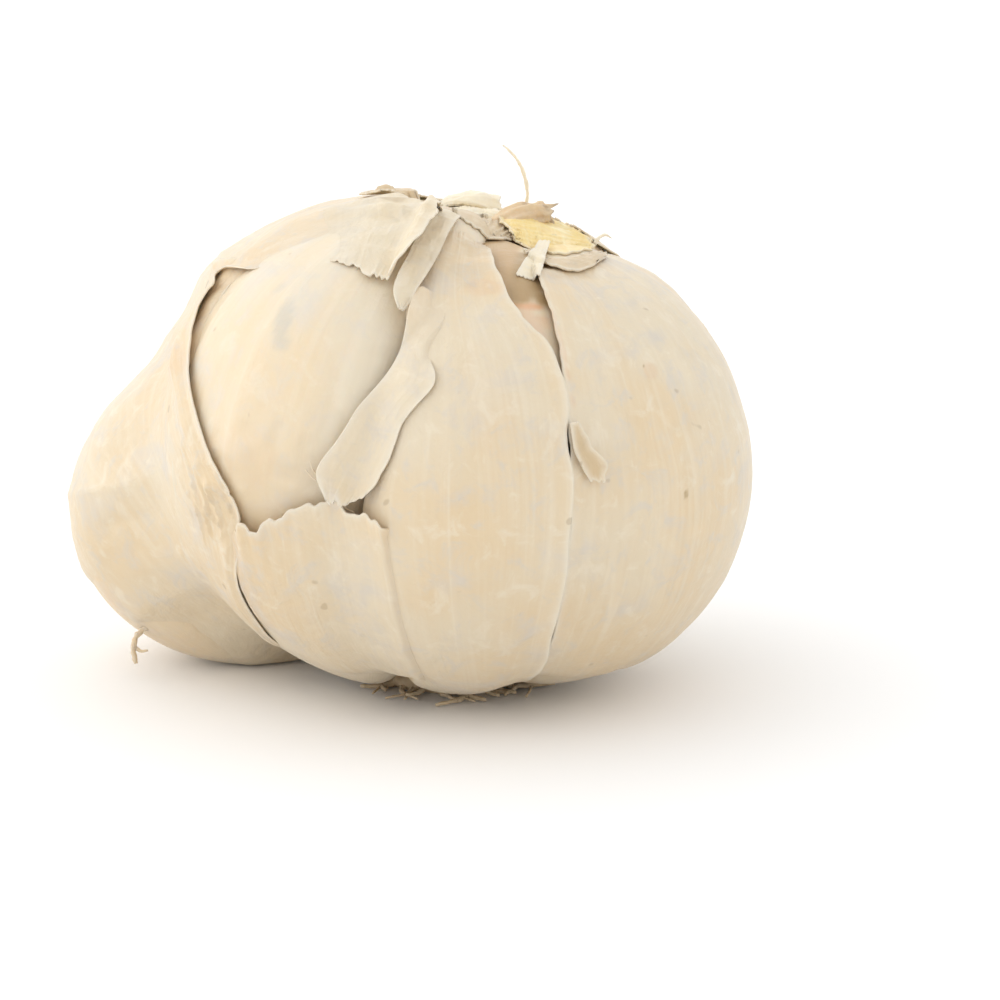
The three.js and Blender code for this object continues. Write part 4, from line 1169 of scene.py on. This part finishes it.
def dried_roots(count):
    """Short thin strands from the plate's rim, cut at different lengths."""
    rng = np.random.default_rng(91)
    roots = []
    for k in range(count):
        degrees = 360 * (k + rng.uniform(-0.4, 0.4)) / count
        if abs((degrees - SPLAYED_AT + 180) % 360 - 180) < SPLAYED_WIDTH:
            continue
        turn = math.radians(degrees)
        start, reach = plate_rim(turn) - ROOT_INSET, rng.uniform(1.2, 3.6)
        radius, bend = rng.uniform(0.16, 0.34), rng.uniform(-0.16, 0.16)
        rise = rng.uniform(0.3, 0.62)
        route = [
            (start, 0, 0.7), (start + ROOT_INSET, 0.2 * bend, rise),
            (start + ROOT_INSET + reach / 2, bend, rise * 0.7),
            (start + ROOT_INSET + reach, 2.2 * bend, max(radius, rise * rng.uniform(0.3, 0.9))),
        ]
        points = [(d * math.cos(turn + a), d * math.sin(turn + a), z) for d, a, z in route]
        roots.append(make_strand(
            points, [radius, radius, radius * 0.8, radius * 0.55], 400 + k, 7, 14, 0.3
        ))
    return roots


add_piece("stalk_and_root_plate", dry_stalk(), root_plate(), *dried_roots(64))

# %% [markdown]
# ## Finishes
#
# All skins share one recipe: a cream ground with soft patches, fine fibres along the grain map,
# painted shade towards the ground and in the creases, and the stains, a few of which are painted
# shade. Only the colours and strengths differ, so a function writes the nodes. Image textures would
# show seams and stretch; node patterns have neither.

# %% Node helper
class Finish:
    """A node material. node() adds one and links or sets its inputs by name."""

    def __init__(self, name):
        self.material = bpy.data.materials.new(name)
        self.material.use_nodes = True
        self.tree = self.material.node_tree
        self.surface = self.tree.nodes["Principled BSDF"]

    def put(self, socket, value):
        """Links a socket, or sets it where the value is the same all over."""
        if isinstance(value, bpy.types.NodeSocket):
            self.tree.links.new(value, socket)
        else:
            socket.default_value = value

    def node(self, kind, inputs=(), out=0, **settings):
        node = self.tree.nodes.new("ShaderNode" + kind)
        for setting, value in settings.items():
            setattr(node, setting, value)
        for key, value in dict(inputs).items():
            self.put(node.inputs[key], value)
        return node.outputs[out]

    def mark(self, name):
        """A number that the mesh carries for each point. It is 0 where a piece has none."""
        return self.node("Attribute", attribute_name=name, out=2)

    def mix(self, share, first, second):
        colours = [(*c, 1) if isinstance(c, tuple) else c for c in (first, second)]
        return self.node("MixRGB", {"Fac": share, "Color1": colours[0], "Color2": colours[1]})

    def ramp(self, value, low, high, top=1.0):
        """A soft rise from 0 at low to top at high."""
        inputs = {"Value": value, "From Min": low, "From Max": high, "To Min": 0.0, "To Max": top}
        return self.node("MapRange", inputs, interpolation_type="SMOOTHSTEP")

    def noise(self, where, scale, detail, rough=0.5, twist=0.0):
        inputs = {"Vector": where, "Scale": scale, "Detail": detail, "Roughness": rough}
        return self.node("TexNoise", {**inputs, "Distortion": twist})

    def times(self, a, b):
        return self.node("Math", {0: a, 1: b}, operation="MULTIPLY")

    def stretched(self, across, along):
        """The grain map, so many patterns across and along one unit of it."""
        grain = self.node("UVMap", uv_map="grain")
        return self.node("Mapping", {"Vector": grain, "Scale": (across, along, 1)})

    def bump(self, height, depth, below=None):
        inputs = {"Height": height, "Distance": depth * MM, "Strength": 1.0}
        if below is not None:
            inputs["Normal"] = below
        return self.node("Bump", inputs)

    def dress(self, *names):
        """Gives the finish to the named pieces."""
        for name in names:
            shown[name].data.materials.append(self.material)


# %% [markdown]
# The skin recipe, step by step: patches first, then fibres, then a painted shade that darkens the
# skins towards the ground, then what age and handling did, with painted shade in the creases and in
# a few of the stain ovals. Each mix takes the colour so far and tints part of it, so the order is
# the order of the layers.

# %% Skin recipe
PAINTED_GROUND_SHADE = (0.52, 0.41, 0.27)               # painted shade, stronger towards the ground
TORN_EDGE = (0.80, 0.73, 0.60)
BLUSH = (0.72, 0.36, 0.17)
BRUISE = (0.50, 0.49, 0.45)
STAIN_AND_SHADE = (0.42, 0.28, 0.135)
# painted shade in the creases between cloves
PAINTED_CREASE_SHADE = (0.56, 0.38, 0.20)
SPECK = (0.40, 0.28, 0.16)
GROUND_SHADE_TOP, GROUND_SHADE_FOOT = 26 * MM, -6 * MM  # heights between which the painted ground shade fades


def skin_finish(
    name, ground, warm, cool, fibre, rough, patches=0.8, streaks=0.5, fibre_tone=0.35,
    crackle=0.05, grain_depth=0.035, glow=0.12, dusty=0.45,
):
    """A dry skin. crackle and grain_depth are in mm, the other numbers are strengths."""
    finish = Finish(name)
    where = finish.node("TexCoord", out=3)
    broad = finish.noise(where, 75.0, 3.0)
    patch = finish.noise(where, 190.0, 4.0, 0.6, 0.4)
    fine = finish.noise(where, 420.0, 4.0, 0.62, 0.6)
    low = finish.node("SeparateXYZ", {"Vector": finish.node("NewGeometry")}, out=2)
    threads = finish.noise(finish.stretched(44, 2.2), 1.0, 3.0, 0.6, 0.25)
    bands = finish.noise(finish.stretched(9, 0.9), 1.0, 2.0, 0.5, 0.3)

    colour = finish.mix(finish.ramp(broad, 0.38, 0.66, patches), ground, warm)
    colour = finish.mix(finish.ramp(patch, 0.50, 0.72, patches * 0.8), colour, cool)
    colour = finish.mix(finish.ramp(bands, 0.45, 0.7, streaks), colour, warm)
    colour = finish.mix(finish.ramp(threads, 0.45, 0.75, fibre_tone), colour, fibre)
    veins = finish.times(finish.mark("vein"), finish.ramp(bands, 0.3, 0.7))
    colour = finish.mix(finish.ramp(veins, 0.2, 1.0, fibre_tone * 1.6), colour, fibre)
    colour = finish.mix(finish.ramp(fine, 0.52, 0.72, dusty), colour, cool)
    colour = finish.mix(finish.ramp(fine, 0.46, 0.28, dusty), colour, fibre)
    # painted shade: every skin darkens towards the ground
    colour = finish.mix(finish.ramp(low, GROUND_SHADE_TOP, GROUND_SHADE_FOOT, 0.38), colour, PAINTED_GROUND_SHADE)
    # the crease tint is painted shade, and some stain ovals are painted shade too
    for mark, low_end, high_end, strength, tint in (
        ("edge", 0.1, 0.9, 0.6, TORN_EDGE), ("blush", 0.0, 1.0, 0.7, BLUSH),
        ("bruise", 0.0, 1.0, 0.5, BRUISE), ("stain_and_shade", 0.0, 1.0, 0.92, STAIN_AND_SHADE),
        ("crease_shade", 0.15, 1.0, 0.9, PAINTED_CREASE_SHADE),
    ):
        share = finish.ramp(finish.mark(mark), low_end, high_end, strength)
        colour = finish.mix(share, colour, tint)
    specks = finish.noise(where, 620.0, 0.0)
    colour = finish.mix(finish.ramp(specks, 0.82, 0.87, 0.4), colour, SPECK)
    finish.put(finish.surface.inputs["Base Color"], colour)

    finish.put(finish.surface.inputs["Roughness"], finish.ramp(patch, -0.6, 1.4, rough * 1.35))
    finish.surface.inputs["Specular IOR Level"].default_value = 0.35
    finish.surface.inputs["Subsurface Weight"].default_value = glow
    finish.surface.inputs["Subsurface Radius"].default_value = (1.0, 0.6, 0.35)
    finish.surface.inputs["Subsurface Scale"].default_value = 2.5 * MM
    finish.surface.inputs["Sheen Weight"].default_value = 0.06
    relief = finish.bump(threads, grain_depth * 2)
    relief = finish.bump(patch, crackle * 4, relief)
    relief = finish.bump(fine, crackle, relief)
    finish.put(finish.surface.inputs["Normal"], relief)
    return finish


clove_skin = skin_finish(
    "clove skin", (0.75, 0.66, 0.51), (0.77, 0.62, 0.415), (0.69, 0.63, 0.55),
    (0.80, 0.71, 0.56), rough=0.48, glow=0.15,
)
pale_paper = skin_finish(
    "pale paper", (0.775, 0.65, 0.47), (0.775, 0.59, 0.37), (0.68, 0.605, 0.52),
    (0.84, 0.73, 0.56), rough=0.52, patches=0.95, crackle=0.09, streaks=0.45, dusty=0.6,
)
beige_paper = skin_finish(
    "beige paper", (0.76, 0.65, 0.48), (0.75, 0.61, 0.41), (0.67, 0.59, 0.47),
    (0.82, 0.715, 0.55), rough=0.6, patches=0.9, crackle=0.12, dusty=0.5,
)
# painted shade: the beige paper made darker for the collar under the rolls
shaded_beige_paper = skin_finish(
    "shaded beige paper", (0.66, 0.53, 0.36), (0.66, 0.50, 0.31), (0.56, 0.46, 0.34),
    (0.76, 0.64, 0.47), rough=0.6, patches=0.9, crackle=0.12, dusty=0.5,
)
# cream for the white scrap, and painted light: paler than the beige paper on the upper roll
cream_and_lit_paper = skin_finish(
    "cream and lit paper", (0.87, 0.77, 0.59), (0.85, 0.73, 0.51), (0.79, 0.72, 0.60),
    (0.90, 0.81, 0.66), rough=0.55, patches=0.8, crackle=0.1,
)
straw_paper = skin_finish(
    "straw paper", (0.88, 0.66, 0.27), (0.88, 0.66, 0.30), (0.78, 0.54, 0.25),
    (0.92, 0.79, 0.48), rough=0.5, streaks=0.8, fibre_tone=0.7, grain_depth=0.09,
)
brown_paper = skin_finish(
    "brown paper", (0.60, 0.46, 0.29), (0.64, 0.47, 0.28), (0.50, 0.39, 0.26),
    (0.72, 0.58, 0.40), rough=0.65, patches=0.9, crackle=0.12,
)
dry_root = skin_finish(
    "dry root", (0.67, 0.52, 0.35), (0.74, 0.56, 0.35), (0.45, 0.33, 0.22),
    (0.78, 0.65, 0.47), rough=0.8, patches=1.0, crackle=0.2, grain_depth=0.1, dusty=0.8,
)
clove_skin.dress(*[name for name in cloves if name != "clove_left_splayed"])
dry_root.dress("stalk_and_root_plate")
pale_paper.dress(
    "wrapper_left", "wrapper_right", "wrapper_back", "skin_front", "strip_front",
    "cuff_front_left", "clove_left_splayed",
)
cream_and_lit_paper.dress("white_scrap", "neck_fold_upper")
beige_paper.dress("cap_flap")
shaded_beige_paper.dress("neck_fold_lower")
straw_paper.dress("straw_sheath")
brown_paper.dress("tissue_flap", "brown_curl")

# the solid model has six materials. The upper neck roll's paper is its beige paper made paler as
# painted light, the collar's is the same beige made darker as painted shade, and the white scrap's
# is a paler cream than its pale paper
SLOTS = {
    **dict.fromkeys(cloves, "clove_skin"), "stalk_and_root_plate": "dry_root",
    "straw_sheath": "straw_paper", "tissue_flap": "brown_paper", "brown_curl": "brown_paper",
    **dict.fromkeys(("cap_flap", "neck_fold_upper", "neck_fold_lower"), "beige_paper"),
}
print("materials, with those of the solid model:", len(bpy.data.materials))

# %% [markdown]
# ## The floor
#
# The bulb stands on a white sheet, much wider than the picture. It lies a hair below zero, so
# that the root plate and the sheet never share a plane.

# %% Floor
FLOOR_HALF = 5                           # metres
FLOOR_DROP = 0.05 * MM


def make_floor():
    """A white sheet, as one square."""
    mesh = bpy.data.meshes.new("floor")
    corners = [(x * FLOOR_HALF, y * FLOOR_HALF, 0) for x, y in ((-1, -1), (1, -1), (1, 1), (-1, 1))]
    mesh.from_pydata(corners, [], [(0, 1, 2, 3)])
    floor = bpy.data.objects.new("floor", mesh)
    floor.location.z = -FLOOR_DROP
    scene.collection.objects.link(floor)
    sheet = Finish("floor sheet")
    sheet.surface.inputs["Base Color"].default_value = (0.93, 0.93, 0.93, 1)
    sheet.surface.inputs["Roughness"].default_value = 0.8
    mesh.materials.append(sheet.material)
    return floor


make_floor()

# %% [markdown]
# ## Finish
#
# Every piece rides on the bulb's one body and takes the place of the solid of the same name. The
# dressed bulb keeps to the solid model's box, apart from root tips that reach less than a tenth of
# a millimetre lower.

# %% Finish
for name, piece in shown.items():
    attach(piece, "root")
    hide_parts(name)
print("pieces:", len(shown))
